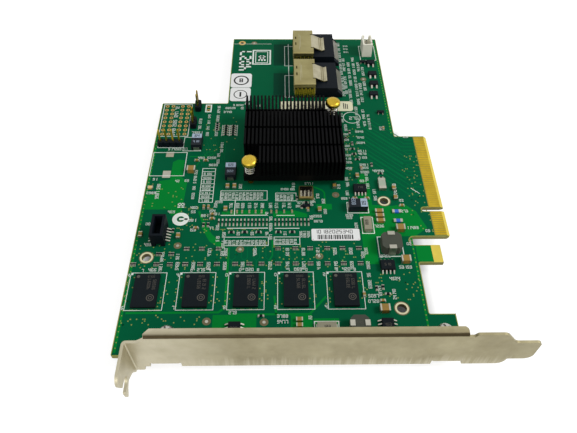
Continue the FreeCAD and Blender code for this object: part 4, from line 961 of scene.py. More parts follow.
# %% [markdown]
# ## White print
# Every part on a board has its outline and a number beside it in white ink. The numbers here are
# plain ones in a seven-stroke face, which costs a few prisms a figure and reads as print at the
# real height of about a millimetre. None of them names anything.

# %% Numbers from seven strokes
STROKES = {"a": (0, 2, 1, 2), "b": (1, 1, 1, 2), "c": (1, 0, 1, 1), "d": (0, 0, 1, 0),
           "e": (0, 0, 0, 1), "f": (0, 1, 0, 2), "g": (0, 1, 1, 1)}
FIGURES = {"0": "abcdef", "1": "bc", "2": "abged", "3": "abgcd", "4": "fgbc", "5": "afgcd",
           "6": "afgecd", "7": "abc", "8": "abcdefg", "9": "abcdfg"}
ink = Bench()


def number(text, x, y, height, upright=False, bench=ink, heights=PRINT, line=None):
    """Writes figures from a near left corner, along X, or along Y when upright."""
    line = line or 0.19 * height
    wide = 0.52 * height
    for k, figure in enumerate(text):
        start = k * height * 0.86
        for stroke in FIGURES[figure]:
            u0, v0, u1, v1 = STROKES[stroke]
            a0, a1 = start + u0 * wide - line / 2, start + u1 * wide + line / 2
            b0, b1 = v0 * height / 2 - line / 2, v1 * height / 2 + line / 2
            if upright:
                bench.bar(x - b1, x - b0, y + a0, y + a1, *heights)
            else:
                bench.bar(x + a0, x + a1, y + b0, y + b1, *heights)


def figures(count):
    """A few plain figures to print."""
    return "".join(draw.choice("0123456789") for _ in range(count))


print("strokes for", len(FIGURES), "figures")

# %% Notes, columns and tables of numbers
def notes(count, height, places, upright=False):
    """Numbers of the same count of figures at many places."""
    for x, y in places:
        number(figures(count), x + 0.5 * upright, y, height, upright)


def row(count, height, y, columns):
    """Upright numbers side by side."""
    notes(count, height, [(x, y) for x in columns], upright=True)


def mixed(height, places):
    """Numbers along X, each with its own count of figures."""
    for x, y, count in places:
        number(figures(count), x, y, height)


def column(x, y0, y1, height=1.0, longest=5):
    """Upright numbers one after another from y0 to y1."""
    y = y0
    while y < y1 - 2 * height:
        count = draw.randint(3, longest)
        count = min(count, int((y1 - y) / (0.86 * height)))
        number(figures(count), x, y, height, upright=True)
        y += count * 0.86 * height + draw.uniform(0.5, 1.4)


def table(x0, x1, y0, y1):
    """A ruled box filled with upright numbers side by side."""
    ink.frame(x0, x1, y0, y1, 0.2)
    pitch, height = 1.33, 0.86
    count = max(2, int((y1 - y0 - 0.5) / height))
    for k in range(int((x1 - x0 - 0.6) / pitch)):
        number(figures(count), x0 + 1.25 + pitch * k, y0 + 0.45, height, upright=True)


print("ink reaches from", PRINT[0], "to", PRINT[1], "mm over the board")

# %% Print round the memory chips
for x0, x1, y0, y1, _, _ in MEMORY:
    ink.frame(x0 - 2.1, x1 + 2.0, y0 - 0.75, y1 + 1.2, 0.19)
    ink.bar(x0 - 2.1, x0 - 1.2, y1 + 0.3, y1 + 1.1, *PRINT)
    notes(1, 1.1, [(x0 - 3.0, y1 - 0.4), (x0 - 3.0, y0 - 0.3)])
    mixed(1.0, [(x0 + 1.4, y1 + 1.6, 1)])
    mixed(1.1, [(x0 + 3.6, y1 + 1.7, 3)])
    mixed(1.0, [(x1 - 0.6, y1 + 1.6, 1)])
print("print so far", len(ink.mesh.faces))

# %% Print between the memory and the heatsink
for edges in ((-82.6, -65.0, 4.6, 9.5), (-62.0, -54.2, 4.2, 8.3), (-80.0, -64.3, -16.4, -12.5),
              (-62.5, -53.3, -16.0, -12.5)):
    table(*edges)
row(3, 1.0, 0.9, (-78.3, -75.9, -74.0, -71.5, -69.2, -66.8, -63.8, -61.6, -58.9, -56.8))
column(-79.6, -21.0, -8.6, 1.0)
column(-63.2, -13.6, -2.6, 0.9)
column(-64.7, -3.2, 0.0, 0.9)
row(2, 0.95, -11.7, (-75.1, -70.2, -65.0, -58.6))
row(4, 0.86, -12.8, (-53.0, -51.7, -50.3))
notes(4, 0.9, [(-59.9, 9.7), (-57.6, 9.7)])
notes(3, 0.95, [(-55.2, 11.2), (-35.0, 7.0), (-34.5, 11.5), (-46.2, 5.6), (-44.2, 3.0),
                (-48.6, 2.0), (-82.6, -9.4), (-82.2, -14.4), (-33.0, -8.6), (-47.8, 3.4),
                (-75.3, 10.6), (-38.0, 10.4), (-43.8, -2.0), (-84.0, 1.2), (-49.0, -5.0)],
      upright=True)
notes(4, 0.95, [(-54.4, 1.2), (-54.2, 2.9), (-48.2, -3.6), (-36.8, -3.3), (-37.4, 4.9),
                (-50.8, 12.6), (-84.6, 3.4), (-85.4, -2.4), (-48.0, -6.0)])
row(4, 0.98, -20.6, (-57.8, -52.3, -47.3, -41.4, -35.9, -30.6, -69.0, -79.0, -84.6))
row(4, 0.98, -26.3, (-63.7, -57.8, -52.3, -47.3, -41.4, -36.0, -30.5, -79.0, -84.5, -73.0,
                     -89.6, -95.0))
print("print so far", len(ink.mesh.faces))

# %% Print on the controller's left
column(-103.7, 40.4, 60.0, 1.3, 4)
RUNGS = (5.6, 7.6, 9.3, 11.2, 13.0, 15.2, 17.2, 19.4)
notes(4, 0.95, [(-89.6, y - 1.55) for y in RUNGS])
for place in ((-92.3, 5.4, 21.0, 0.95), (-94.8, -22.0, -17.2, 0.95), (-100.0, -27.0, -17.5, 0.95),
              (-86.0, 40.0, 60.0, 1.0), (-89.7, 40.0, 54.0, 0.95, 3), (-93.2, 44.0, 53.0, 1.0, 4),
              (-84.2, 24.0, 30.0, 0.95), (-83.2, 30.0, 39.0, 0.95), (-105.6, 5.6, 14.0, 1.15)):
    column(*place)
mixed(1.05, [(-105.0, 31.6, 6), (-99.0, 31.8, 2), (-110.2, 8.0, 4), (-100.2, 14.0, 2),
             (-96.6, 14.2, 2), (-92.6, 26.6, 3), (-89.0, 26.6, 4), (-93.0, 0.6, 3),
             (-92.6, -1.4, 2), (-88.8, -3.2, 3), (-93.0, -5.4, 3), (-92.6, -9.8, 3),
             (-108.8, 15.0, 2), (-88.0, 22.6, 4), (-96.6, 41.6, 5), (-85.6, -9.0, 2),
             (-86.4, -1.0, 3), (-83.6, 57.2, 5), (-84.2, 54.6, 4), (-101.0, -1.4, 3),
             (-107.4, -16.2, 3), (-108.2, -7.0, 2)])
number("18", -95.6, 0.3, 2.1, upright=True, line=0.42)
ink.ring(-96.1, -4.3, 3.0, 1.35, *PRINT, 40)
print("print so far", len(ink.mesh.faces))

# %% Print on the controller's right and round the regulators
notes(4, 1.0, [(-28.8, y) for y in (18.6, 20.9, 22.6, 26.6, 28.8, 30.4, 35.2, 38.4, 42.0)])
notes(3, 0.95, [(-34.2, y) for y in (24.0, 26.0, 28.0, 31.4, 33.4, 37.0, 40.4)])
for place in ((-32.2, 43.0, 48.0, 1.0), (-34.2, 14.2, 19.0, 0.9), (-26.4, 10.0, 21.0, 0.95),
              (-16.2, 5.6, 13.6, 1.0), (-24.2, 4.4, 11.0, 0.95), (-26.8, 45.0, 61.0, 1.0),
              (-24.0, 46.0, 58.5, 0.95, 4), (-22.0, 44.0, 54.0, 0.95), (-29.4, 57.5, 63.0, 1.1),
              (-17.6, 43.5, 48.0, 0.9), (-30.2, -34.0, -27.4, 1.0), (-27.2, -36.8, -31.0, 0.9),
              (-22.6, -38.2, -34.0, 0.95), (-33.4, 48.4, 55.4, 0.9, 3),
              (-31.4, -22.0, -16.6, 0.9)):
    column(*place)
mixed(1.05, [(-24.0, 19.2, 5), (-15.8, 3.8, 2), (-15.0, -9.2, 5), (-8.4, -10.6, 2),
             (-15.8, -1.4, 3), (-26.4, -8.4, 4), (-26.6, -21.6, 5), (-20.0, -26.2, 5),
             (-23.8, -30.8, 4), (-31.6, -37.4, 4), (-31.8, -39.4, 4), (-36.6, -4.4, 3),
             (-9.8, 38.8, 3), (-34.6, 20.6, 3), (-29.6, 13.8, 3), (-16.0, -16.4, 2),
             (-76.6, -43.2, 3), (-61.2, -44.6, 4), (-61.2, -46.6, 4), (-51.8, -45.2, 2)])
number("27", -30.6, 50.2, 1.7, line=0.25)
ink.ring(-29.6, 51.4, 3.7, 3.45, *PRINT, 40)
for x, y in ((-10.6, 10.6), (-9.6, 9.7), (-8.6, 8.8)):
    ink.ribbon([(x, y), (x + 0.9, y - 1.1)], 0.22, *PRINT)
print("print so far", len(ink.mesh.faces))

# %% Print at the rear
for x, y0, y1 in ((-31.2, 66.0, 107.6), (-29.9, 67.5, 82.0), (-29.7, 84.0, 97.0),
                  (-28.4, 61.0, 71.5), (-27.6, 73.5, 94.5), (-25.2, 60.0, 97.5),
                  (-23.4, 62.0, 76.0), (-23.0, 84.0, 92.0), (-21.4, 70.0, 77.0),
                  (-21.2, 81.0, 88.0)):
    column(x, y0, y1)
notes(3, 0.9, [(-29.4, y) for y in (99.0, 101.5, 104.0)])
number("30", -67.3, 92.6, 2.7, upright=True, line=0.7)
number("4027", -74.1, 85.2, 4.7, upright=True, line=0.9)
column(-76.0, 57.0, 60.5)
mixed(1.0, [(-80.4, 59.2, 4), (-75.4, 60.2, 3), (-70.2, 58.8, 3)])
print("print so far", len(ink.mesh.faces))

# %% Printed boxes and rules
BOXES = [(-110.7, -97.2, 17.2, 30.3, 0.24), (-110.2, -98.0, 39.6, 60.3, 0.26),
         (-92.3, -89.6, 55.0, 60.0, 0.5), (-90.4, -85.2, 3.6, 21.3, 0.22),
         (-99.3, -92.2, 31.0, 39.2, 0.22), (-109.6, -99.2, 32.9, 36.2, 0.22),
         (-22.0, -14.4, 92.8, 104.6, 0.25), (-73.2, -64.4, 89.4, 101.2, 0.7),
         (-71.8, -65.8, 90.7, 99.9, 0.35)]
for node, gap in (("polymer_capacitor_1", 0.8), ("polymer_capacitor_2", 0.9), ("inductor_1", 0.9),
                  ("tantalum_capacitor_3", 0.6)):
    x0, x1, y0, y1, _, _ = span(node)
    BOXES.append((x0 - gap, x1 + gap, y0 - gap, y1 + gap, 0.3))
BOXES += [(x0 - 4.1, x0 + 0.4, y0, y1 - 2.7, 0.22) for x0, _, y0, y1, _, _ in CAGES]
for box in BOXES:
    ink.frame(*box)
RULES = [(-81.8, -65.6, -2.75, -2.45), (-61.6, -55.0, -2.85, -2.6), (-77.0, -76.75, -2.4, 4.6),
         (-79.2, -64.6, -8.75, -8.45), (-62.2, -53.4, -8.85, -8.6), (-92.2, -92.0, 30.9, 38.4),
         (-96.6, -93.6, -4.7, -3.9), (-56.2, -55.95, 65.0, 106.0), (-82.4, -64.2, 106.2, 106.35)]
RULES += [(-90.3, -85.3, y, y + 0.2) for y in RUNGS]
RULES += [(x - 0.12, x + 0.12, 40.0 + 1.35 * k, 41.2 + 1.35 * k)
          for k in range(5) for x in (-84.2, -81.1, -78.0)]
for rule in RULES:
    ink.bar(*rule, *PRINT)
ink.piece("white_print", ink_white)

# %% [markdown]
# ## Sprung pins and their coils
# Two brass pins hold the heatsink down, each with a coil spring under a domed head. The solids
# stand in for them with a plain head and a sleeve. Here the head is turned from a true profile,
# the barb is split as the real one is, and the spring is a wire swept along a helix.

# %% Turned pins
def turned(bench, x, y, profile, sides=32):
    """A solid of revolution from (radius, height) points, the first and last on the axis."""
    loops = []
    for radius, z in profile:
        if radius == 0:
            loops.append([bench.mesh.verts.new((x, y, z))])
            continue
        loops.append([bench.mesh.verts.new((x + radius * math.cos(2 * math.pi * i / sides),
                                            y + radius * math.sin(2 * math.pi * i / sides), z))
                      for i in range(sides)])
    for here, there in zip(loops, loops[1:]):
        for i in range(sides):
            ring = [here[i - 1], here[i % len(here)]] if len(here) > 1 else [here[0]]
            back = [there[i % len(there)], there[i - 1]] if len(there) > 1 else [there[0]]
            bench.mesh.faces.new(ring + back)


def dome(radius, low, high, power):
    """Profile points of a rounded head, from its side at low to near its crown at high."""
    angles = [math.pi / 2 * k / 9 for k in range(1, 9)]
    return [(radius * math.cos(a) ** power, low + (high - low) * math.sin(a)) for a in angles]


def sheet(bench, profile, y0, y1):
    """A solid drawn in X and Z and pulled along Y."""
    front = [bench.mesh.verts.new((x, y0, z)) for x, z in profile]
    rear = [bench.mesh.verts.new((x, y1, z)) for x, z in profile]
    bench.mesh.faces.new(front)
    bench.mesh.faces.new(rear)
    for i in range(len(profile)):
        bench.mesh.faces.new((front[i - 1], front[i], rear[i], rear[i - 1]))


PIN_RADIUS, LEG_HALF = 0.8, 0.7
HEAD_RADIUS, HEAD_HEIGHT, PLAIN_HEAD = 3.0, 2.3, 2.85
pin_x0, pin_x1, pin_y0, pin_y1, pin_z0, pin_z1 = span("spring_pins")
PIN_PLACES = [(pin_x0 + PLAIN_HEAD, pin_y0 + PLAIN_HEAD),
              (pin_x1 - PLAIN_HEAD, pin_y1 - PLAIN_HEAD)]
pins = Bench()
seat = pin_z1 - HEAD_HEIGHT
for x, y in PIN_PLACES:
    head = [(0, seat - 0.001), (HEAD_RADIUS - 0.15, seat), (HEAD_RADIUS, seat + 0.2),
            (HEAD_RADIUS, seat + 0.9)]
    turned(pins, x, y, head + dome(HEAD_RADIUS, seat + 0.9, pin_z1, 0.7) + [(0, pin_z1)])
    turned(pins, x, y, [(0, SOLDER_FACE + 0.2), (PIN_RADIUS, SOLDER_FACE + 0.2),
                        (PIN_RADIUS, seat), (0, seat)], 20)
    for side in (-1, 1):
        leg = [(x + side * 0.22, SOLDER_FACE + 0.3), (x + side * 0.8, SOLDER_FACE + 0.3),
               (x + side * 0.8, SOLDER_FACE - 0.02), (x + side * 1.32, SOLDER_FACE - 0.1),
               (x + side * 0.85, pin_z0 + 0.01), (x + side * 0.3, pin_z0 + 0.01)]
        sheet(pins, leg, y - LEG_HALF, y + LEG_HALF)
pin_piece = pins.piece("domed_spring_pins", FINISHES["pin_brass"], smooth=True)
pin_piece.data.set_sharp_from_angle(angle=math.radians(35))
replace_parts(pin_piece, "spring_pins")

# %% Coils
TURNS, WIRE, COIL_POINTS = 5, 0.21, 26
COIL_RADIUS, CLOSED_SHARE = 1.79, 0.12


def coil(name, x, y, low, high):
    """A wire along a helix with closed ends, swept as a curve and kept as a mesh."""
    curve = bpy.data.curves.new(name, "CURVE")
    curve.dimensions = "3D"
    curve.bevel_depth = WIRE * MM
    curve.bevel_resolution = 3
    curve.use_fill_caps = True
    line = curve.splines.new("POLY")
    count = TURNS * COIL_POINTS
    line.points.add(count)
    for i in range(count + 1):
        share = i / count
        rise = min(1.0, max(0.0, (share - CLOSED_SHARE) / (1 - 2 * CLOSED_SHARE)))
        z = low + WIRE + (high - low - 2 * WIRE) * (0.1 * share + 0.9 * rise)
        angle = 2 * math.pi * TURNS * share
        line.points[i].co = ((x + COIL_RADIUS * math.cos(angle)) * MM,
                             (y + COIL_RADIUS * math.sin(angle)) * MM, z * MM, 1)
    shape = bpy.data.objects.new(name, curve)
    link(shape)
    data = bpy.data.meshes.new_from_object(shape)
    bpy.data.objects.remove(shape)
    made = bpy.data.objects.new(name, data)
    settle(made, FINISHES["spring_steel"], smooth=True)
    return made


coils = [coil(f"coil_spring_{k + 1}", x, y, *span("pin_springs")[4:])
         for k, (x, y) in enumerate(PIN_PLACES)]
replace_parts(coils[0], "pin_springs")
print("springs with", TURNS, "turns each")

# %% [markdown]
# ## Bracket screws
# The two screws are pan heads with a cross recess, each on a toothed washer. A revolved profile
# gives the rounded head, and the recess is cut with two crossed bars, as a punch would press it.

# %% Pan heads with a cross recess
SCREW_HEAD, SHANK, DOME_ABOVE = 2.8, 1.44, 2.6
CROSS_TURN, CROSS_REACH, CROSS_HALF, CROSS_DEEP = 0.4, 1.5, 0.3, 1.0
screw_x0, screw_x1, screw_y0, _, screw_z0, screw_z1 = span("bracket_screws")
washer_top = span("star_washers")[5]
top = screw_z1 + DOME_ABOVE
heads = Bench()
cross = Bench()
for x in (screw_x0 + SCREW_HEAD, screw_x1 - SCREW_HEAD):
    y = screw_y0 + SCREW_HEAD
    profile = [(0, screw_z0 + 0.01), (1.2, screw_z0 + 0.01), (SHANK, screw_z0 + 0.25),
               (SHANK, washer_top), (SCREW_HEAD - 0.05, washer_top),
               (SCREW_HEAD, washer_top + 0.3)]
    profile += dome(SCREW_HEAD, washer_top + 0.3, top, 0.6) + [(0, top)]
    turned(heads, x, y, profile, 40)
    for turn in (CROSS_TURN, CROSS_TURN + math.pi / 2):
        along = Vector((math.cos(turn), math.sin(turn))) * CROSS_REACH
        beside = Vector((-math.sin(turn), math.cos(turn))) * CROSS_HALF
        middle = Vector((x, y))
        cross.prism([middle - along - beside, middle + along - beside,
                     middle + along + beside, middle - along + beside],
                    top - CROSS_DEEP, top + CROSS_DEEP)
punch = cross.piece("punch", FINISHES["steel"])
screws = heads.piece("pan_head_screws", FINISHES["steel"], smooth=True)
recess = screws.modifiers.new("recess", "BOOLEAN")
recess.operation = "DIFFERENCE"
recess.solver = "EXACT"
recess.use_self = True
recess.object = punch
cut = bpy.data.meshes.new_from_object(
    screws.evaluated_get(bpy.context.evaluated_depsgraph_get()))
screws.modifiers.clear()
screws.data = cut
bpy.data.objects.remove(punch)
screws.data.set_sharp_from_angle(angle=math.radians(40))
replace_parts(screws, "bracket_screws")
print("screws cut, faces", len(screws.data.polygons))

# %% [markdown]
# ## Labels
# A die-cut label has round corners and a thin edge. Each one is a rounded prism a tenth of a
# millimetre thick, printed with plain bars, rings and figures that say nothing.

# %% Rounded labels
def rounded(x0, x1, y0, y1, radius, steps=6):
    """Points round a rectangle with round corners."""
    points = []
    for cx, cy, start in ((x1 - radius, y0 + radius, -90), (x1 - radius, y1 - radius, 0),
                          (x0 + radius, y1 - radius, 90), (x0 + radius, y0 + radius, 180)):
        for k in range(steps + 1):
            angle = math.radians(start + 90 * k / steps)
            points.append((cx + radius * math.cos(angle), cy + radius * math.sin(angle)))
    return points


LABEL_CORNERS = {"part_label": 0.5, "approval_label_1": 1.2, "approval_label_2": 1.2,
                 "cable_label": 1.6}
for node, radius in LABEL_CORNERS.items():
    x0, x1, y0, y1, _, top = span(node)
    label = Bench()
    label.prism(rounded(x0, x1, y0, y1, radius), 0.001, top)
    slot = "label_cream" if node == "cable_label" else "label_white"
    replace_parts(label.piece("rounded_" + node, FINISHES[slot]), node)

# %% Print on the labels
label_ink = Bench()
label_top = span("part_label")[5]
ON_LABEL = (label_top - 0.01, label_top + 0.012)


def middle_of(node):
    """The middle of a solid in plan."""
    x0, x1, y0, y1, _, _ = span(node)
    return (x0 + x1) / 2, (y0 + y1) / 2


x0, x1, y0, y1, _, _ = span("part_label")
x = x0 + 2.1
while x < x1 - 2.3:
    wide = draw.choice((0.16, 0.24, 0.34, 0.45))
    label_ink.bar(x, x + wide, y0 + 0.55, y0 + 2.5, *ON_LABEL)
    x += wide + draw.choice((0.18, 0.28, 0.4))
number("10182025340", x0 + 1.3, y0 + 3.2, 1.45, bench=label_ink, heights=ON_LABEL, line=0.2)
for corner in (x0 + 0.35, x1 - 0.6):
    label_ink.bar(corner, corner + 0.25, y0 + 0.35, y0 + 0.6, *ON_LABEL)
x, y = middle_of("approval_label_1")
label_ink.ring(x, y, 3.45, 2.75, *ON_LABEL, 40)
number("8", x - 0.6, y - 1.1, 2.2, bench=label_ink, heights=ON_LABEL, line=0.5)
x, y = middle_of("approval_label_2")
label_ink.ring(x, y, 3.0, 2.6, *ON_LABEL, 40)
label_ink.bar(x - 0.4, x + 0.4, y - 1.6, y + 1.6, *ON_LABEL)
x0, x1, y0, y1, _, _ = span("cable_label")
for k in range(3):
    label_ink.bar(x1 - 2.6 - 0.8 * k, x1 - 2.2 - 0.8 * k, y0 + 1.4, y1 - 2.0 + 0.4 * k, *ON_LABEL)
for k in range(9):
    number(figures(4), x0 + 2.0 + 2.9 * k, y0 + 1.2, 0.95, True, label_ink, ON_LABEL)
label_ink.piece("label_print", ink_dark)

# %% [markdown]
# ## Marks on the chips
# Laser marks burn the black compound to grey. Each memory chip has a round dimple for pin one and
# a few rows of figures that run up the package. The regulators and coils carry a short number.

# %% Laser marks and dimples
marks = Bench()


def on_top(top, proud=0.008):
    """Heights of a thin mark on a part whose top is given."""
    return top - 0.02, top + proud


def mark(count, x, y, top, height, upright=False):
    """A few figures burnt into a chip's top."""
    number(figures(count), x, y, height, upright, marks, on_top(top), 0.13 * height)


for x0, x1, y0, y1, _, top in MEMORY:
    marks.disc(x0 + 1.0, y1 - 1.1, 0.55, *on_top(top), 20)
    mark(5, x0 + 5.3, y0 + 6.6, top, 0.95, upright=True)
    mark(5, x0 + 7.0, y0 + 6.4, top, 0.95, upright=True)
    mark(4, x0 + 4.2, y1 - 1.5, top, 0.7)
    marks.ring(x0 + 5.9, y0 + 3.3, 1.25, 1.02, *on_top(top), 24)
    marks.ring(x0 + 5.9, y0 + 3.3, 0.62, 0.42, *on_top(top), 20)
for node in ("regulator_ic_1", "regulator_ic_2", "supervisor_ic", "fan_controller_ic",
             "inductor_2"):
    x, y = middle_of(node)
    mark(3, x - 1.1, y - 0.4, span(node)[5], 0.9)
marks.piece("laser_marks", ink_grey)

# %% Bands and figures on the moulded capacitors
bands = Bench()
band_ink = Bench()
BAND_WIDE, BAND_INSET, OVER_BAND = 2.6, 0.14, 0.016
for node in ("tantalum_capacitor_1", "tantalum_capacitor_2"):
    x0, x1, y0, y1, _, top = span(node)
    bands.bar(x0 + BAND_INSET, x1 - BAND_INSET, y1 - BAND_WIDE, y1 - BAND_INSET, *on_top(top))
    number(figures(2), x0 + 1.3, y1 - 2.0, 1.2, False, band_ink, on_top(top, OVER_BAND), 0.22)
    number(figures(3), x0 + 0.9, y0 + 1.6, 1.0, False, bands, on_top(top))
x0, x1, y0, y1, _, top = span("tantalum_capacitor_3")
bands.bar(x1 - BAND_WIDE, x1 - BAND_INSET, y0 + BAND_INSET, y1 - BAND_INSET, *on_top(top))
number(figures(2), x1 - 0.9, y0 + 1.1, 1.2, True, band_ink, on_top(top, OVER_BAND), 0.22)
number(figures(3), x0 + 2.3, y0 + 1.2, 1.3, True, bands, on_top(top), 0.22)
for node in ("polymer_capacitor_1", "polymer_capacitor_2"):
    x0, x1, y0, y1, _, top = span(node)
    x, y = middle_of(node)
    upright = x1 - x0 < y1 - y0
    number(figures(3), x - (0 if upright else 1.2), y - 0.9, 0.95, upright, band_ink,
           on_top(top), 0.18)
band_blue = body_finish("pale_blue_band", (0.36, 0.45, 0.56), 0.5, 0.2, 0.1, 0.003, 0.25)
bands.piece("capacitor_bands", band_blue)
band_ink.piece("capacitor_figures", ink_dark)

# %% [markdown]
# ## Solder balls and the far face
# The memory and the controller stand on grids of solder balls, which show as a row of small beads
# in a low view. On the far face the through-hole pins end in cones of solder, and the memory and
# the controller have a few small capacitors behind them.

# %% Solder balls
balls = Bench()
BALL_COLUMNS = (0.8, 1.6, 2.4, 5.6, 6.4, 7.2)


def ball(x, y, radius, high):
    """A bead of solder flattened at both ends."""
    turned(balls, x, y, [(0, 0.0), (radius * 0.72, 0.01), (radius, high / 2),
                         (radius * 0.72, high - 0.01), (0, high)], 10)


for x0, x1, y0, y1, base, _ in MEMORY:
    for k in range(15):
        for across in BALL_COLUMNS:
            ball(x0 + across, y0 + 0.65 + 0.8 * k, 0.2, base)
x0, x1, y0, y1, base, _ = span("controller_substrate")
for k in range(24):
    along = 1.0 + 1.26 * k
    for edge in (0.9, 2.1):
        for place in ((x0 + along, y0 + edge), (x0 + along, y1 - edge),
                      (x0 + edge, y0 + along), (x1 - edge, y0 + along)):
            ball(*place, 0.24, base)
balls.piece("solder_balls", FINISHES["tin"], smooth=True)

# %% Solder on the far face
joints = Bench()
back_bodies = Bench()


def solder_cone(x, y, radius=0.85):
    """The cone of solder round a pin on the far face."""
    level = SOLDER_FACE
    turned(joints, x, y, [(0, level - 1.0), (0.42, level - 1.0), (0.5, level - 0.55),
                          (0.66, level - 0.2), (radius, level - 0.02), (radius, level + 0.01),
                          (0, level + 0.01)], 16)


def pin_places(node, pitch):
    """Where the pins of a straight header come through, from the solid's box."""
    x0, x1, y0, y1, _, _ = span(node)
    x, y = middle_of(node)
    count = round(max(x1 - x0, y1 - y0) / pitch)
    offsets = [(k - (count - 1) / 2) * pitch for k in range(count)]
    return [(x + o, y) if x1 - x0 > y1 - y0 else (x, y + o) for o in offsets]


for node in ("serial_header", "jumper_header_1", "jumper_header_2"):
    for place in pin_places(node, INCH_TENTH):
        solder_cone(*place)
x0, x1, y0, y1, _, _ = span("battery_header_pins")
for k in range(3):
    solder_cone((x0 + x1) / 2, y0 + 0.25 + 2.0 * k, 0.7)


def back_chip(x, y, upright=False):
    """A small capacitor on the far face."""
    low = SOLDER_FACE - 0.55
    for bench, a, b in ((back_bodies, -0.5, 0.5), (joints, -0.8, -0.5), (joints, 0.5, 0.8)):
        turned_bar(bench, (x, y), a, b, -0.4, 0.4, low, SOLDER_FACE + 0.01, upright)


x, y = middle_of("heatsink")
for line in range(6):
    for k in range(6):
        back_chip(x - 10 + 4 * k, y - 10 + 4 * line, upright=(line + k) % 2 == 0)
for x0, x1, y0, y1, _, _ in MEMORY:
    for k in range(4):
        back_chip(x0 - 1.2, y0 + 1.5 + 3.0 * k, upright=True)
        back_chip(x1 + 1.2, y0 + 1.5 + 3.0 * k, upright=True)
joints.piece("solder_joints", FINISHES["tin"], smooth=True)
bpy.data.objects["solder_joints"].data.set_sharp_from_angle(angle=math.radians(40))
back_bodies.piece("far_face_capacitors", FINISHES["capacitor_tan"], bevel=0.04)

# %% Vias and tracks on the far face
FAR_TRACK = thin(TRACK_TOP, -1)
far_vias = Bench()
for field in ((520, BOARD_X0 + 3, -17.0, BOARD_Y0 + 4, 58.0),
              (120, -80.0, -16.0, 60.0, BOARD_Y1 - 4)):
    scatter(far_vias, INCH_TENTH / 2, thin(0.03, -1), *field)
far_vias.piece("far_face_vias", via_tan)
far_tracks = Bench()
for k in range(18):
    y = 36.2 - 2.0 * k
    far_tracks.ribbon([(-5.3, y), (-12.0 - 0.5 * k, y), (-24.0 - 0.5 * k, y + 12.0),
                       (-34.0, y + 12.0)], FINE, *FAR_TRACK)
for k in range(20):
    x = -104.0 + 3.4 * k
    far_tracks.ribbon([(x, -28.0), (x, -14.0 + 0.4 * k), (x + 4.0, -10.0 + 0.4 * k),
                       (x + 4.0, 6.0 + 0.3 * k)], FINE, *FAR_TRACK)
far_tracks.ribbon([(-78.0, -52.0), (-78.0, 40.0), (-70.0, 48.0), (-70.0, 100.0)], 1.2, *FAR_TRACK)
far_tracks.ribbon([(-100.0, 14.0), (-84.0, 14.0)], 2.4, *FAR_TRACK)
far_tracks.piece("far_face_tracks", track_mask)
print("far face dressed")

# %% [markdown]
# ## Cable cages up close
# Each cage is pressed from thin sheet. Its roof has two fine beads beside the latch slots, its near
# wall is fluted, and the sprung leaf behind is brighter than the rest, with three ridges across it
# where the cable's latch slides. They are thin sheets and beads over the plain cage, with dark
# sheets of painted shade in the flutes' grooves and beside each ridge.

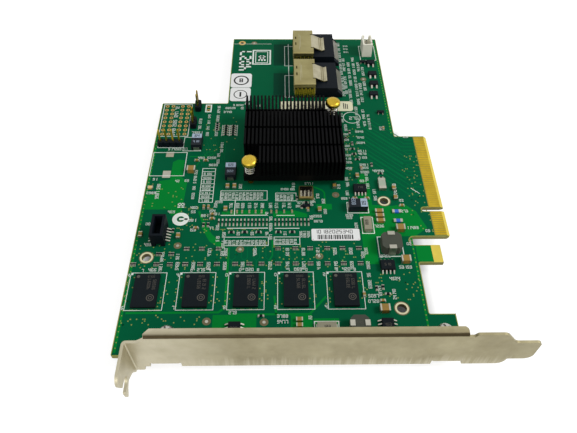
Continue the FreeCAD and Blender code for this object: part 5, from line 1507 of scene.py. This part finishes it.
# %% Beads, flutes, the ridged leaf and painted shade
beads = Bench()
flutes = Bench()
cage_shade_sheets = Bench()
leaf = Bench()
LEAF_HALF, LEAF_REACH, LEAF_DROP, LEAF_TIP = 5.05, 5.2, 1.85, 1.3
RIDGES = (2.9, 3.7, 4.5)
LIFT = 0.03
for x0, _, y0, y1, _, roof in CAGES:
    back, tip = x0 + 9.3, x0 + 9.3 + LEAF_REACH
    dip = tip - LEAF_TIP
    across = ((y0 + y1) / 2 - LEAF_HALF, (y0 + y1) / 2 + LEAF_HALF)
    for x, start, stop in ((x0 + 2.7, 2.2, 3.4), (x0 + 3.3, 4.4, 5.0)):
        beads.bar(x, x + 0.16, y0 + start, y1 - stop, roof - 0.02, roof + 0.07)
    # painted shade: a dark sheet on the near wall that shows between the flutes
    cage_shade_sheets.bar(x0 + 0.3, back - 0.3, y0 - 0.06, y0 + 0.02, 0.1, 5.2)
    for k in range(10):
        x = x0 + 0.5 + 0.88 * k
        flutes.bar(x, x + 0.42, y0 - 0.16, y0 + 0.02, 0.15, 5.1 if k % 2 else 4.4)
    over = [(back - 0.9, roof + LIFT), (back, roof + LIFT), (dip, roof - LEAF_DROP + LIFT),
            (tip, roof - LEAF_DROP + 0.45 + LIFT)]
    under = [(x, z - LIFT - 0.01) for x, z in reversed(over)]
    sheet(leaf, over + under, *across)
    for reach in RIDGES:
        x = back + reach
        level = roof - LEAF_DROP * min(1.0, reach / (LEAF_REACH - LEAF_TIP)) + LIFT
        sheet(leaf, [(x - 0.2, level), (x, level + 0.28), (x + 0.2, level)], *across)
        # painted shadow: a dark wedge beside each ridge
        sheet(cage_shade_sheets, [(x - 0.42, level), (x - 0.3, level + 0.06), (x - 0.18, level)], *across)
olive_flute = metal_finish("fluted_wall", (0.62, 0.52, 0.05), 0.4, cloud=0.3,
                           tint=(0.34, 0.28, 0.025))
flutes.piece("cage_flutes", olive_flute, bevel=0.05)
pale_leaf = metal_finish("worn_leaf", (0.47, 0.44, 0.31), 0.34, streaks=(0.2, 2.0, 2.0),
                         tint=(0.30, 0.27, 0.17))
leaf.piece("ridged_latch_leaves", pale_leaf)
beads.piece("cage_beads", pale_leaf, bevel=0.03)
painted_shadow_olive = body_finish("painted_olive_shade", (0.035, 0.033, 0.006), 0.6, 0.3, 0.3, 0.004, 0.1)
cage_shade_sheets.piece("painted_cage_shade", painted_shadow_olive)

# %% [markdown]
# ## Bare tongue
# There is no mask between the contacts: the resin under them is a dull olive, and the bevelled
# lip in front of them shows the pale cloth. Two thin plates and two slim wedges give both.

# %% Resin between the contacts and the pale bevel
tongue = Bench()
bevel_cloth = Bench()
cx0, _, cy0, cy1, _, _ = span("contacts_component_side")
BEVEL, BEVEL_DROP, NOTCH_HALF = 1.1, 0.4, 1.02
RESIN_TOP, CLOTH_HALF = 0.02, 0.015
for y0, y1 in ((cy0 - 0.35, -NOTCH_HALF), (NOTCH_HALF, cy1 + 0.35)):
    for side, face in ((1, COMPONENT_FACE), (-1, SOLDER_FACE)):
        tongue.bar(cx0 - 0.3, -BEVEL, y0, y1, *thin(RESIN_TOP, side))
        lift, end = side * CLOTH_HALF, face - side * BEVEL_DROP
        sheet(bevel_cloth, [(-BEVEL, face - lift), (-BEVEL, face + lift), (-0.02, end + lift),
                            (-0.02, end - lift)], y0, y1)
resin_olive = body_finish("olive_resin", (0.33, 0.26, 0.04), 0.5, 0.25, 0.25, 0.004, 0.2)
tongue.piece("resin_between_contacts", resin_olive)
bevel_cloth.piece("pale_bevel", bare_cloth)
